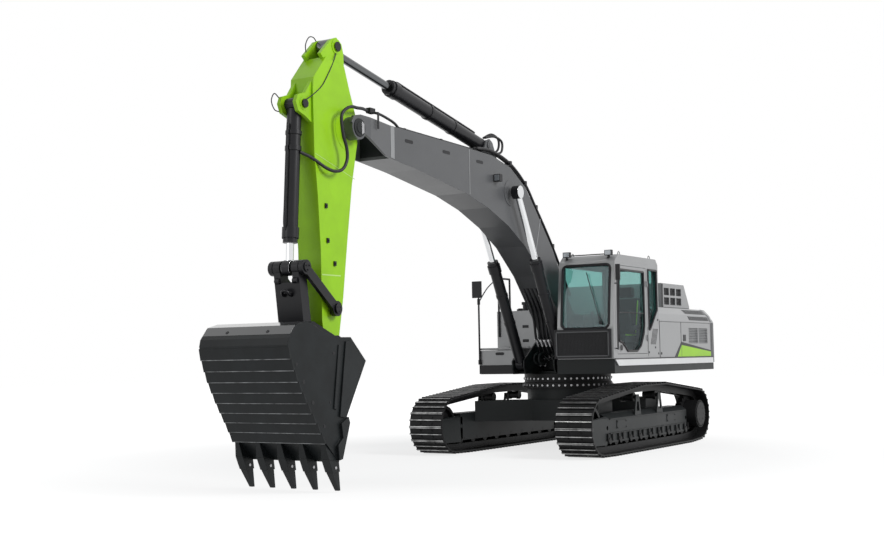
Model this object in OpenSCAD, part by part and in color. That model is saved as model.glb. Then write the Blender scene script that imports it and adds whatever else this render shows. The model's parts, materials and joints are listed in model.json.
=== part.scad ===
// Crawler excavator: tracked undercarriage, swinging upper body with cab, boom, arm and bucket.
// Drawn from the swing axis at ground level, x to the front, y to the left, z up, then moved by datum_x.

/* [Undercarriage] */
// Distance between the two track centre planes
track_gauge = 2590; // [2300:10:2900]
// Width of one track shoe
shoe_width = 600; // [500:10:800]
// Swing axis to front idler axle
idler_x = 2095; // [1900:5:2300]
// Swing axis to rear sprocket axle
sprocket_x = 2080; // [1900:5:2300]
// Radius of the track's turn, to the tips of the bars on the shoes
wrap_r = 455; // [430:5:480]
// Height of the bars on the shoes
bar_h = 26; // [20:1:34]
// Length of one shoe along the track, before it is rounded to a whole count
shoe_pitch = 216; // [200:1:240]
// Thickness of the shoe plates
shoe_t = 18; // [14:1:24]
// Height of the link rails inside the shoes
link_h = 100; // [80:2:120]
// Radius of the bottom rollers
roller_r = 85; // [75:1:95]
// Swing axis to the last bottom roller, both ways
roller_end = 1620; // [1500:10:1680]
// Number of bottom rollers on each side
roller_count = 9; // [7:1:10]
// Radius of the carrier rollers
carrier_r = 75; // [65:1:85]
// Height of the carrier rollers' axles
carrier_z = 860; // [830:5:880]
// Half the distance between the carrier rollers
carrier_x = 465; // [400:5:520]
// Width of the track frame's beam
frame_w = 350; // [320:5:380]

/* [Swing bearing] */
// Outer radius of the fixed ring
ring_r = 755; // [700:5:800]
// Height of the joint between the two rings
ring_z = 1110; // [1090:1:1130]

/* [Upper body] */
// Underside of the deck
deck_z = 1255; // [1230:5:1280]
// Height of the deck, to the cab's floor
deck_h = 232; // [200:2:250]
// Half the width of the upper body
body_w = 1490; // [1450:5:1520]
// Tail radius of the counterweight
tail_r = 3500; // [3400:10:3600]
// Depth of the counterweight from its front to its tail
tail_depth = 440; // [400:5:480]
// Top of the engine room
hood_z = 2355; // [2300:5:2400]
// Thickness of doors and panels
panel_t = 40; // [30:1:50]
// Gap round a door or lid
door_gap = 6; // [5:1:10]

/* [Cab] */
// Front of the cab at its floor
cab_front = 1420; // [1380:5:1460]
// Back of the cab behind the swing axis
cab_back = 480; // [440:5:520]
// Width of the cab
cab_w = 967; // [940:5:1000]
// Top of the roof
cab_top = 3134; // [3080:2:3180]
// Thickness of the cab's walls
wall_t = 45; // [40:1:60]
// Back edge of the door
door_x = 50; // [20:5:100]

/* [Boom and arm] */
// Boom foot pin ahead of the swing axis
foot_x = 300; // [250:5:350]
// Boom foot pin's height
foot_z = 1980; // [1940:5:2020]
// Half the width of the boom
boom_w = 260; // [250:1:268]
// Half the width of the arm
arm_w = 175; // [165:1:185]
// Thickness of the boom's and arm's plates
plate_t = 24; // [18:1:30]
// Half the distance between the boom cylinders
boom_cyl_y = 384; // [380:1:395]

/* [Bucket] */
// Half the width over the bucket's side plates
bucket_w = 700; // [650:5:750]
// Thickness of the bucket's shell
shell_t = 26; // [20:1:32]
// Width of a tooth
tooth_w = 110; // [90:2:130]

/* [Hidden] */
$fn = 48;
run_gap = 1;
pivot_gap = 5;
pin_gap = 0.2;
hinge_y = 16;
shoulder_z = 2100;
seam_x = -1500;
tail_x = tail_r - tail_depth;
hood_w = body_w - 390;
tie_r = 33;
tie_z = 430;
touch_gap = 0.5;
lid_z = 1690;
foot = [foot_x, foot_z];
tip = [foot_x + 6280, foot_z + 2507];
boom_cyl_foot = [foot_x + 660, foot_z - 560];
boom_cyl_head = [foot_x + 2120, foot_z + 2100];
arm_cyl_foot = [foot_x + 2530, foot_z + 2800];
arm_cyl_head = tip + [220, 1025];
kit_cyl_foot = tip + [899, 188];
link_top = tip + [1030, -1827];
link_arm = tip + [408, -2311];
kit_pin = tip + [420, -2757];
link_low = kit_pin + [500, 170];
datum_x = (kit_pin[0] + 1520 - tail_r) / 2;
side_y = track_gauge / 2;
deck_top = deck_z + deck_h;
cab_y0 = body_w - cab_w;
plate_line = wrap_r - bar_h;
rail_in = shoe_t + link_h;
roller_z = bar_h + rail_in + roller_r;
idler_z = wrap_r + 11;
sprocket_z = wrap_r + 26;
// circles that the shoe plates run round: x, z, radius
turns = [
    [idler_x, idler_z, plate_line],
    [carrier_x, carrier_z, carrier_r + rail_in],
    [-carrier_x, carrier_z + 8, carrier_r + rail_in],
    [-sprocket_x, sprocket_z, plate_line],
    [-roller_end, roller_z, roller_r + rail_in],
    [roller_end, roller_z, roller_r + rail_in]
];
turn_steps = [10, 4, 4, 10, 2, 2];

// Side view outline pulled out from y0 to y1
module side(pts, y0, y1) {
    translate([0, y1, 0]) rotate([90, 0, 0]) linear_extrude(y1 - y0) polygon(pts);
}

// Plan outline pulled up from z0 to z1
module plan(pts, z0, z1) {
    translate([0, 0, z0]) linear_extrude(z1 - z0) polygon(pts);
}

// End view outline, in y and z, pulled along x from x0 to x1
module cross(pts, x0, x1) {
    translate([x0, 0, 0]) rotate([90, 0, 90]) linear_extrude(x1 - x0) polygon(pts);
}

// Round bar along y at p, in x and z
module ybar(p, r, y0, y1) {
    translate([p[0], y1, p[1]]) rotate([90, 0, 0]) cylinder(r = r, h = y1 - y0);
}

// Round bar from a to b
module rod(a, b, r) {
    d = b - a;
    translate(a) rotate([0, acos(d[2] / norm(d)), atan2(d[1], d[0])]) cylinder(r = r, h = norm(d));
}

// Block between two corners
module block(a, b) {
    translate(a) cube(b - a);
}

module pair() {
    children();
    mirror([0, 1, 0]) children();
}

// Turns a piece drawn along +x so that it starts at a and points to b, in the side view
module along(a, b) {
    translate([a[0], 0, a[1]]) rotate([0, -atan2(b[1] - a[1], b[0] - a[0]), 0]) children();
}

// Hinge with its pin along z: the fixed side lies on the wall at y = -hinge_y, towards -x
module hinge_fixed() {
    for (z = [-45, 32]) translate([0, 0, z]) {
        cylinder(r = 15, h = 13);
        translate([-50, -hinge_y, 0]) cube([50, 6, 13]);
        translate([-15, -hinge_y, 0]) cube([15, hinge_y, 13]);
    }
    translate([0, 0, -45]) cylinder(r = 8, h = 90);
}

// The turning side lies on the door, towards +x
module hinge_door() {
    difference() {
        union() {
            translate([0, 0, -28]) cylinder(r = 15, h = 56);
            translate([0, -hinge_y, -28]) cube([50, 6, 56]);
            translate([0, -hinge_y, -28]) cube([15, hinge_y, 56]);
        }
        cylinder(r = 8 + pin_gap, h = 200, center = true);
    }
}

// Pivot pin of a flush door, from the deck or from the shoulder above
module door_pin(x, y, z0, z1) {
    translate([x, y, z0]) cylinder(r = 8, h = z1 - z0);
}

// Flush door that turns about x, with a round back edge
module flush_door(x, front, low, high) {
    difference() {
        union() {
            block([x, body_w - panel_t, low], [front, body_w, high]);
            translate([x, body_w - panel_t / 2, low]) cylinder(r = panel_t / 2, h = high - low);
        }
        translate([x, body_w - panel_t / 2, low - 1]) cylinder(r = 8 + pin_gap, h = 45);
        translate([x, body_w - panel_t / 2, high - 44]) cylinder(r = 8 + pin_gap, h = 45);
    }
}

function pick(list, i) = list[(i + len(list)) % len(list)];
function gap_len(i) = norm([pick(turns, i + 1)[0] - turns[i][0], pick(turns, i + 1)[1] - turns[i][1]]);
function leave(k) = let (
        i = (k + len(turns)) % len(turns),
        a = turns[i],
        b = pick(turns, i + 1)
    ) atan2(b[1] - a[1], b[0] - a[0]) - acos((a[2] - b[2]) / gap_len(i));
function sweep(i) = (leave(i) - leave(i - 1) + 720) % 360;
function bend_len(i) = turns[i][2] * sweep(i) * PI / 180;
function run_len(i) = sqrt(pow(gap_len(i), 2) - pow(turns[i][2] - pick(turns, i + 1)[2], 2));
function loop_len(i = 0) = i == len(turns) ? 0 : bend_len(i) + run_len(i) + loop_len(i + 1);
function on_turn(i, a, h) = [turns[i][0], turns[i][1]] + (turns[i][2] + h) * [cos(a), sin(a)];
// Point at the distance s round the loop, h outside the plates' line
function on_loop(s, h, i = 0) =
    i == len(turns) ? on_loop(0, h, 0) :
    s <= bend_len(i) ? on_turn(i, leave(i - 1) + s / turns[i][2] * 180 / PI, h) :
    s <= bend_len(i) + run_len(i) ?
        on_turn(i, leave(i), h) + (s - bend_len(i)) * [-sin(leave(i)), cos(leave(i))] :
    on_loop(s - bend_len(i) - run_len(i), h, i + 1);
function plain_loop(h) = [
    for (i = [0 : len(turns) - 1], j = [0 : turn_steps[i]])
        on_turn(i, leave(i - 1) + sweep(i) * j / turn_steps[i], h)
];

shoe_count = round(loop_len() / shoe_pitch);
pitch = loop_len() / shoe_count;
shoe_line = [
    [4, bar_h], [16, bar_h], [22, 0], [pitch / 2 - 14, 0], [pitch / 2 - 7, bar_h],
    [pitch / 2 + 7, bar_h], [pitch / 2 + 14, 0], [pitch - 22, 0], [pitch - 16, bar_h],
    [pitch - 4, bar_h], [pitch, bar_h / 3]
];
wheel_r = (plate_line - rail_in) * cos(sweep(0) / turn_steps[0] / 2) - run_gap;

module track() {
    shoes = [
        for (k = [0 : shoe_count - 1], p = shoe_line) on_loop(k * pitch + p[0], p[1])
    ];
    color("dimgray") {
        difference() {
            side(shoes, side_y - shoe_width / 2, side_y + shoe_width / 2);
            side(plain_loop(-shoe_t), side_y - shoe_width, side_y + shoe_width);
        }
        for (s = [-1, 1]) difference() {
            side(plain_loop(6 - shoe_t), side_y + s * 85 - 25, side_y + s * 85 + 25);
            side(plain_loop(-rail_in), side_y + s * 85 - 30, side_y + s * 85 + 30);
        }
    }
}

// Turning wheel with two treads on the rails and a flange between them
module tread_wheel(p, r, flange, axle, half) {
    for (s = [-1, 1]) ybar(p, r, side_y + s * 85 - 25, side_y + s * 85 + 25);
    ybar(p, r + flange, side_y - 55, side_y + 55);
    ybar(p, r * 0.8, side_y - 60, side_y + 60);
    ybar(p, axle, side_y - half, side_y + half);
}

module track_frame() {
    lo = roller_z + roller_r + 20;
    hi = 640;
    front = idler_x - wheel_r - 60;
    back = -sprocket_x + wheel_r + 90;
    color("darkslategray") difference() {
        union() {
            cross([
                [side_y - frame_w / 2, lo], [side_y + frame_w / 2, lo], [side_y + frame_w / 2, hi - 70],
                [side_y + frame_w / 2 - 90, hi], [side_y - frame_w / 2 + 10, hi], [side_y - frame_w / 2, hi - 10]
            ], back, front);
            // side plates that carry the rollers
            for (s = [-1, 1]) difference() {
                side([
                    [back + 20, roller_z - 30], [front - 20, roller_z - 30], [front, lo], [front, lo + 8],
                    [back, lo + 8], [back, lo]
                ], side_y + s * (frame_w / 2 - 12) - 12, side_y + s * (frame_w / 2 - 12) + 12);
                for (x = roller_xs()) ybar([x, roller_z], 32, side_y - 300, side_y + 300);
            }
            // fork of the idler
            for (s = [-1, 1]) difference() {
                side([
                    [front - 60, 330], [idler_x + 110, 390], [idler_x + 150, idler_z - 40],
                    [idler_x + 150, idler_z + 60], [idler_x + 90, idler_z + 110], [front - 60, 600]
                ], side_y + s * 135 - 15, side_y + s * 135 + 15);
                ybar([idler_x, idler_z], 60, side_y - 300, side_y + 300);
            }
            // outer end cover beside the idler
            side([
                [front - 60, roller_z], [front + 10, roller_z - 60], [idler_x + 90, roller_z - 50],
                [idler_x + 210, idler_z - 170], [idler_x + 235, idler_z], [idler_x + 200, idler_z + 105],
                [front - 60, idler_z + 115]
            ], side_y + 150, side_y + frame_w / 2);
            // plate of the sprocket's drive
            difference() {
                side([
                    [back + 60, 330], [-sprocket_x - 150, sprocket_z - 150], [-sprocket_x - 190, sprocket_z],
                    [-sprocket_x - 150, sprocket_z + 130], [back + 60, 620]
                ], side_y - 150, side_y - 115);
                ybar([-sprocket_x, sprocket_z], 120, side_y - 300, side_y + 300);
            }
            // carrier roller stands
            for (s = [-1, 1]) difference() {
                side([
                    [s * carrier_x - 130, hi - 74], [s * carrier_x + 130, hi - 74], [s * carrier_x + 55, carrier_z + 45],
                    [s * carrier_x - 55, carrier_z + 45]
                ], side_y + frame_w / 2 - 28, side_y + frame_w / 2 - 4);
                ybar([s * carrier_x, carrier_z + (s < 0 ? 8 : 0)], 30, side_y - 300, side_y + 300);
                side([
                    [s * carrier_x - 62, hi], [s * carrier_x + 62, hi], [s * carrier_x + 34, carrier_z - 70],
                    [s * carrier_x - 34, carrier_z - 70]
                ], side_y, side_y + 300);
            }
        }
        for (x = [back + 34, front - 35]) ybar([x, tie_z], tie_r, side_y - 300, side_y + 300);
    }
}

function roller_xs() = [for (i = [0 : roller_count - 1]) -roller_end + i * 2 * roller_end / (roller_count - 1)];

module carbody() {
    leg_y = side_y - frame_w / 2;
    color("darkslategray") {
        difference() {
            union() {
                translate([0, 0, 560]) cylinder(r = 690, h = 1010 - 560);
                plan([
                    [-1250, -leg_y], [-700, -leg_y], [-420, -560], [420, -560], [700, -leg_y], [1250, -leg_y],
                    [760, -300], [760, 300], [1250, leg_y], [700, leg_y], [420, 560], [-420, 560],
                    [-700, leg_y], [-1250, leg_y], [-760, 300], [-760, -300]
                ], 480, 820);
            }
            translate([0, 0, 700]) cylinder(r = 480, h = 400);
        }
    }
}

module swing_ring() {
    color("dimgray") difference() {
        translate([0, 0, 1010]) cylinder(r = ring_r, h = ring_z - 1010 - pivot_gap / 2);
        translate([0, 0, 1000]) cylinder(r = ring_r - 150, h = 200);
    }
}

module swing_race() {
    color("dimgray") difference() {
        union() {
            translate([0, 0, ring_z + pivot_gap / 2]) cylinder(r = ring_r - 20, h = deck_z - ring_z - pivot_gap / 2);
            translate([0, 0, 1025]) cylinder(r = ring_r - 150 - pin_gap, h = 120);
        }
        translate([0, 0, 1000]) cylinder(r = ring_r - 180, h = 400);
    }
}

module bottom_rollers() {
    color("dimgray") pair() for (x = roller_xs())
        tread_wheel([x, roller_z], roller_r, 12, 32, frame_w / 2);
}

module carrier_rollers() {
    color("dimgray") pair() for (s = [-1, 1]) {
        p = [s * carrier_x, carrier_z + (s < 0 ? 8 : 0)];
        for (t = [-1, 1]) ybar(p, carrier_r - touch_gap, side_y + t * 85 - 25, side_y + t * 85 + 25);
        ybar(p, carrier_r - 12, side_y - 62, side_y + 62);
        ybar(p, 30, side_y, side_y + frame_w / 2 - 4);
    }
}

module idlers() {
    color("dimgray") pair() difference() {
        union() {
            for (s = [-1, 1]) ybar([idler_x, idler_z], wheel_r, side_y + s * 85 - 27, side_y + s * 85 + 27);
            ybar([idler_x, idler_z], wheel_r + 25, side_y - 58, side_y + 58);
            ybar([idler_x, idler_z], 60, side_y - 150, side_y + 150);
        }
        for (s = [-1, 1]) translate([0, side_y + s * 95, 0]) difference() {
            ybar([idler_x, idler_z], wheel_r - 50, -45, 45);
            ybar([idler_x, idler_z], 110, -60, 60);
        }
    }
}

module sprockets() {
    teeth = 21;
    color("dimgray") pair() {
        translate([-sprocket_x, side_y, sprocket_z]) rotate([90, 0, 0]) linear_extrude(80, center = true) polygon([
            for (i = [0 : teeth - 1], t = [[-0.32, 0], [-0.14, 52], [0.14, 52], [0.32, 0]])
                (wheel_r - 5 + t[1]) * [cos((i + t[0]) * 360 / teeth), sin((i + t[0]) * 360 / teeth)]
        ]);
        ybar([-sprocket_x, sprocket_z], 240, side_y + 40, side_y + shoe_width / 2 - 14);
        ybar([-sprocket_x, sprocket_z], 200, side_y + 40, side_y + shoe_width / 2);
        ybar([-sprocket_x, sprocket_z], 230, side_y - 115, side_y - 40);
        ybar([-sprocket_x, sprocket_z], 120, side_y - 260, side_y - 100);
    }
}

// Upper body
module upper_frame() {
    bracket = [
        [-1150, deck_top], [boom_cyl_foot[0] - 130, deck_z + 10], [boom_cyl_foot[0] + 60, deck_z + 10],
        [boom_cyl_foot[0] + 115, boom_cyl_foot[1] - 60], [boom_cyl_foot[0] + 115, boom_cyl_foot[1] + 60],
        [boom_cyl_foot[0] + 30, boom_cyl_foot[1] + 120], [foot_x + 210, foot_z - 120], [foot_x + 200, foot_z + 90],
        [foot_x + 90, foot_z + 200], [foot_x - 90, foot_z + 200], [foot_x - 220, foot_z + 60]
    ];
    color("dimgray") {
        difference() {
            plan([
                [-tail_x - 60, -body_w], [420, -body_w], [420, -620], [560, -500], [560, 500],
                [cab_front - 20, 500], [cab_front - 20, body_w], [-tail_x - 60, body_w]
            ], deck_z, deck_top);
            translate([0, 0, deck_z - 1]) cylinder(r = 430, h = deck_h + 2);
            // open well between the brackets, ahead of the boom's foot
            block([-260, -262, deck_z + 40], [700, 262, deck_top + 1]);
        }
        pair() {
            difference() {
                side(bracket, boom_w + 6, boom_w + 28);
                ybar(boom_cyl_foot, 44, 0, 600);
                ybar(foot, 60, 0, 600);
            }
            // outer lug of the boom cylinder
            side([
                [boom_cyl_foot[0] - 420, deck_z], [boom_cyl_foot[0] + 60, deck_z],
                [boom_cyl_foot[0] + 105, boom_cyl_foot[1] - 50], [boom_cyl_foot[0] + 105, boom_cyl_foot[1] + 50],
                [boom_cyl_foot[0] + 40, boom_cyl_foot[1] + 105], [boom_cyl_foot[0] - 60, boom_cyl_foot[1] + 105],
                [boom_cyl_foot[0] - 420, deck_top + 20]
            ], boom_cyl_y + 96, boom_cyl_y + 122);
            block([560 - 20, boom_w + 6, deck_z], [boom_cyl_foot[0] - 120, boom_cyl_y + 122, deck_z + 40]);
            ybar(boom_cyl_foot, 44, boom_w + 6, boom_cyl_y + 122);
        }
        ybar(foot, 60, -boom_w - 60, boom_w + 60);
        door_pin(front_door_x, body_w - panel_t / 2, deck_top, deck_top + 46);
        pair() door_pin(rear_door_x, body_w - panel_t / 2, deck_top, deck_top + 46);
    }
}

module counterweight() {
    color("darkslategray") difference() {
        intersection() {
            translate([0, 0, deck_z + 40]) cylinder(r = tail_r, h = shoulder_z + 10 - deck_z - 40, $fn = 96);
            block([-tail_r - 10, -body_w, 0], [-tail_x, body_w, 4000]);
        }
        block([-tail_x - 61, -body_w - 10, 0], [-tail_x + 10, body_w + 10, deck_top]);
        // step along the lower edge
        difference() {
            cylinder(r = tail_r + 50, h = deck_z + 130, $fn = 96);
            cylinder(r = tail_r - 60, h = 3000, $fn = 96);
        }
    }
}

module engine() {
    color("gray") block([-tail_x + 260, -650, deck_top], [-1700, 550, 2240]);
}

// Shoulder and top of the engine room, left and right, with the opening for the engine hood
function shoulder(t) = [
    [body_w - t, 2100], [body_w - t, 2120], [body_w - 60 - t, 2235 - t * 0.4], [body_w - 190, hood_z - t],
    [-body_w + 190, hood_z - t], [-body_w + 60 + t, 2235 - t * 0.4], [-body_w + t, 2120], [-body_w + t, 2100]
];

module hood_shell() {
    color("silver") {
        difference() {
            cross(shoulder(0), -tail_x + door_gap, seam_x + door_gap);
            cross(shoulder(panel_t), -tail_x, seam_x + 100);
            block([-tail_x + 70, -hood_w + 10, 2200], [-1610, hood_w - 10, 2500]);
        }
        // rounded tail over the counterweight
        intersection() {
            cross(shoulder(0), -tail_r - 10, -tail_x + door_gap);
            translate([0, 0, shoulder_z + 10]) cylinder(r = tail_r - 12, h = 60, $fn = 96);
        }
        intersection() {
            cross(shoulder(0), -tail_r - 10, -tail_x + door_gap);
            translate([0, 0, shoulder_z + 69]) cylinder(r = tail_r - 45, h = 400, $fn = 96);
        }
        // left shoulder behind the cab
        cross([
            [body_w, 2100], [body_w, 2120], [body_w - 60, 2235], [body_w - 190, hood_z], [cab_y0, hood_z],
            [cab_y0, hood_z - panel_t], [body_w - 190, hood_z - panel_t], [body_w - 60 - panel_t, 2235 - panel_t * 0.4],
            [body_w - panel_t, 2120], [body_w - panel_t, 2100]
        ], seam_x + door_gap, -cab_back - 25);
        // walls that carry it
        block([seam_x, cab_y0, deck_top], [seam_x + door_gap, body_w - panel_t - 20, 2120]);
        block([seam_x + door_gap, cab_y0, deck_top], [-cab_back - 25, cab_y0 + panel_t, hood_z - panel_t]);
        door_pin(front_door_x, body_w - panel_t / 2, shoulder_z - 46, shoulder_z);
        pair() door_pin(rear_door_x, body_w - panel_t / 2, shoulder_z - 46, shoulder_z);
        pair() block([-tail_x + door_gap, body_w - panel_t - 60, deck_top], [-tail_x + 60, body_w - panel_t - 20, 2110]);
        pair() block([-tail_x + door_gap, body_w - panel_t - 60, 2105], [-tail_x + 60, body_w - panel_t, 2115]);
        pair() translate([-1600 + hinge_y, hood_w - 300, hood_z + hinge_y])
            mirror([1, 0, 0]) rotate([90, 0, 0]) hinge_fixed();
    }
}

module engine_hood() {
    low = hood_z + door_gap;
    color("silver") difference() {
        side([[-tail_x + 75, low], [-1600, low], [-1600, 2810], [-2720, 2810], [-tail_x + 75, hood_z + 60]], -hood_w, hood_w);
        side([[-tail_x + 115, low - 40], [-1640, low - 40], [-1640, 2770], [-2705, 2770], [-tail_x + 115, hood_z + 60]],
            -hood_w + panel_t, hood_w - panel_t);
        for (i = [0 : 2], j = [0, 1])
            block([-1980 - i * 300, hood_w - 100, 2430 + j * 170], [-1730 - i * 300, hood_w + 100, 2560 + j * 170]);
    }
    color("silver") pair() translate([-1600 + hinge_y, hood_w - 300, hood_z + hinge_y])
        mirror([1, 0, 0]) rotate([0, -90, 0]) rotate([90, 0, 0]) hinge_door();
}

front_door_x = seam_x + door_gap + panel_t / 2;
rear_door_x = -tail_x + door_gap + panel_t / 2;

module left_front_door() {
    color("silver") flush_door(front_door_x, -cab_back - 25 - door_gap, deck_top + door_gap, shoulder_z - door_gap);
}

module left_rear_door() {
    color("silver") difference() {
        flush_door(rear_door_x, seam_x - door_gap, deck_top + door_gap, shoulder_z - door_gap);
        for (i = [0, 1]) block([seam_x - 830 - i * 500, body_w - 100, 1730], [seam_x - 370 - i * 500, body_w + 10, 2000]);
    }
}

module right_rear_door() {
    color("silver") mirror([0, 1, 0])
        flush_door(rear_door_x, seam_x - door_gap, deck_top + door_gap, shoulder_z - door_gap);
}

lid_hinges = [-body_w + 190, -body_w + 590];

module fuel_tank() {
    color("silver") {
        block([-1000, -body_w, deck_top], [-250, -560, hood_z]);
        for (y = lid_hinges) translate([-250 + hinge_y, y, lid_z + hinge_y]) rotate([0, -90, 0]) rotate([-90, 0, 0]) hinge_fixed();
    }
}

module hydraulic_tank() {
    color("silver") block([seam_x + door_gap, -body_w, deck_top], [-1010, -560, hood_z]);
}

module tool_box() {
    color("silver") difference() {
        block([-250 + door_gap, -body_w, deck_top], [420, -700, 1660]);
        block([-250 + door_gap + panel_t, -body_w + panel_t, deck_top + panel_t], [420 - panel_t, -700 - panel_t, 1700]);
    }
}

module tool_box_lid() {
    color("darkgray") {
        block([-250 + door_gap + 4, -body_w, 1660 + door_gap], [424, -700, lid_z]);
        for (y = lid_hinges) translate([-250 + hinge_y, y, lid_z + hinge_y]) rotate([90, 0, 0]) hinge_door();
    }
}

module side_steps() {
    low = deck_top - 112;
    high = deck_top - 13;
    color("silver") side([
        [-tail_x, low], [cab_front - 150, low], [cab_front - 20, high], [-tail_x, high]
    ], body_w, body_w + 20);
}

module stack() {
    color("dimgray") {
        translate([-420, -1000, hood_z]) cylinder(r = 50, h = 120);
        translate([-420, -1000, hood_z + 110]) cylinder(r = 70, h = 50);
    }
}

module handrails() {
    y = -body_w + 50;
    color("dimgray") {
        rod([-230, y, 1900], [-230, y, 2950], 18);
        rod([-230, y, 2950], [-650, y, 2950], 18);
        rod([-650, y, hood_z], [-650, y, 2950], 18);
        for (z = [1950, 2300]) rod([-250, y, z], [-230, y, z], 14);
    }
}

module mirror_right() {
    y = -body_w + 25;
    color("dimgray") {
        block([430, y - 120, 2580], [470, y + 55, 2870]);
        rod([450, y, 1420], [450, y, 2600], 16);
        block([420, y - 20, 1420], [455, y + 20, 1460]);
    }
}

cab_side = [
    [-cab_back, deck_top], [cab_front, deck_top], [cab_front, deck_top + 500], [cab_front - 30, deck_top + 800],
    [cab_front - 120, cab_top - 110], [cab_front - 260, cab_top], [-cab_back + 90, cab_top], [-cab_back, cab_top - 90]
];
cab_in = [
    [-cab_back + wall_t, deck_top + 60], [cab_front - wall_t, deck_top + 60], [cab_front - wall_t, deck_top + 500],
    [cab_front - 30 - wall_t, deck_top + 800], [cab_front - 120 - wall_t, cab_top - 125],
    [cab_front - 280, cab_top - wall_t], [-cab_back + 110, cab_top - wall_t], [-cab_back + wall_t, cab_top - 110]
];
// Front window, seen from the front, and rear quarter window, seen from the left
front_pane = [
    [cab_y0 + 130, deck_top + 480], [body_w - 130, deck_top + 480], [body_w - 75, deck_top + 535],
    [body_w - 75, cab_top - 215], [body_w - 90, cab_top - 180], [body_w - 130, cab_top - 160],
    [cab_y0 + 130, cab_top - 160], [cab_y0 + 90, cab_top - 180], [cab_y0 + 75, cab_top - 215],
    [cab_y0 + 75, deck_top + 535]
];
quarter_pane = [
    [-cab_back + 80, deck_top + 800], [door_x - 130, deck_top + 470], [door_x - 90, deck_top + 470],
    [door_x - 90, cab_top - 190], [-cab_back + 80, cab_top - 190]
];
roof_z = cab_top - 110;
door_top = roof_z - 60;
door_front = cab_front - 150;
door_side = [
    [door_x, deck_top + 70], [door_front, deck_top + 70], [door_front + 40, deck_top + 500],
    [door_front + 15, deck_top + 800], [door_front - 55, door_top], [door_x, door_top]
];

module cab_frame() {
    color("silver") difference() {
        side(cab_side, cab_y0, body_w);
        side(cab_in, cab_y0 + wall_t, body_w - wall_t);
        block([-2000, 0, roof_z], [2000, 2000, 4000]);
        side(door_side, body_w - 2 * wall_t, body_w + 10);
        // windows: front, right, back and left rear
        cross(front_pane, cab_front - 300, cab_front + 100);
        block([-cab_back + 120, cab_y0 - 10, deck_top + 420], [cab_front - 260, cab_y0 + 2 * wall_t, roof_z - 60]);
        block([-cab_back - 10, cab_y0 + 100, deck_top + 560], [-cab_back + 2 * wall_t, body_w - 100, roof_z - 60]);
        side(quarter_pane, body_w - 2 * wall_t, body_w + 10);
    }
    color("silver") cab_hinges();
}

module cab_hinges() {
    for (z = door_hinges) translate([door_x, body_w + hinge_y, z]) hinge_fixed();
}

module cab_roof() {
    color("silver") difference() {
        intersection() {
            side(cab_side, cab_y0, body_w);
            block([-2000, 0, roof_z], [2000, 2000, 4000]);
        }
        side(cab_in, cab_y0 + wall_t, body_w - wall_t);
    }
}

module cab_glass() {
    color("lightblue") {
        intersection() {
            difference() {
                side([for (p = cab_side) p - [18, 0]], cab_y0 + 80, body_w - 80);
                side([for (p = cab_side) p - [24, 0]], cab_y0, body_w);
            }
            cross(front_pane, cab_front - 300, cab_front + 100);
        }
        block([-cab_back + 120, cab_y0 + 18, deck_top + 420], [cab_front - 260, cab_y0 + 24, roof_z - 60]);
        block([-cab_back + 18, cab_y0 + 100, deck_top + 560], [-cab_back + 24, body_w - 100, roof_z - 60]);
        side(quarter_pane, body_w - 24, body_w - 18);
    }
}

function shrink(pts, d, c) = [for (p = pts) p + d * [p[0] > c[0] ? -1 : 1, p[1] > c[1] ? -1 : 1]];
door_mid = [(door_x + door_front) / 2, (deck_top + door_top) / 2];
door_edge = shrink(door_side, door_gap, door_mid);
door_hole = [
    [door_x + 440, deck_top + 120], [door_front - 390, deck_top + 120], [door_front - 310, deck_top + 180],
    [door_front - 190, deck_top + 250], [door_front - 60, deck_top + 280], [door_front - 40, deck_top + 500],
    [door_front - 60, deck_top + 800], [door_front - 120, door_top - 70], [door_x + 110, door_top - 70],
    [door_x + 110, deck_top + 560], [door_x + 150, deck_top + 400], [door_x + 280, deck_top + 200]
];

door_hinges = [deck_top + 330, door_top - 260];

module cab_door() {
    color("silver") difference() {
        side(door_edge, body_w - wall_t, body_w);
        side(door_hole, body_w - 2 * wall_t, body_w + 10);
    }
    color("silver") for (z = door_hinges) translate([door_x, body_w + hinge_y, z]) hinge_door();
}

module door_glass() {
    color("lightblue") side(door_hole, body_w - 24, body_w - 18);
}

module seat() {
    y = body_w - cab_w / 2;
    color("dimgray") {
        block([-80, y - 200, deck_top + 60], [320, y + 200, deck_top + 260]);
        block([-100, y - 240, deck_top + 260], [400, y + 240, deck_top + 400]);
        side([[-160, deck_top + 260], [-40, deck_top + 400], [-160, deck_top + 1000], [-300, deck_top + 1000]], y - 230, y + 230);
    }
}

module console() {
    y = body_w - cab_w / 2;
    color("dimgray") {
        block([-60, cab_y0 + wall_t + 20, deck_top + 60], [420, y - 260, deck_top + 520]);
        block([900, y - 100, deck_top + 60], [1100, y + 100, deck_top + 120]);
    }
}

module front_guard() {
    color("dimgray") difference() {
        block([cab_front, cab_y0 - 40, deck_top + 12], [cab_front + 36, body_w - 40, deck_top + 470]);
        block([cab_front + 20, cab_y0 - 15, deck_top + 40], [cab_front + 40, body_w - 65, deck_top + 440]);
    }
}

module roof_lights() {
    z = cab_top - 60;
    color("dimgray") difference() {
        union() {
            for (y = [cab_y0 + 110, body_w - 130]) {
                block([1215, y - 14, z - 10], [1245, y + 14, z + 60]);
                block([1200, y - 60, z + 45], [1262, y + 60, z + 130]);
            }
            rod([1230, cab_y0 + 110, z + 70], [1230, body_w - 130, z + 70], 9);
        }
        side(cab_side, cab_y0 - 10, body_w + 10);
    }
}

module mirror_left() {
    y = body_w + 42;
    color("dimgray") {
        rod([1345, y, deck_top + 140], [1320, y, deck_top + 1260], 11);
        for (p = [[1345, 160], [1322, 1180]]) rod([p[0], body_w, deck_top + p[1]], [p[0], y, deck_top + p[1]], 9);
        block([1302, y - 20, deck_top + 1230], [1334, y + 50, deck_top + 1480]);
    }
}

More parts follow.
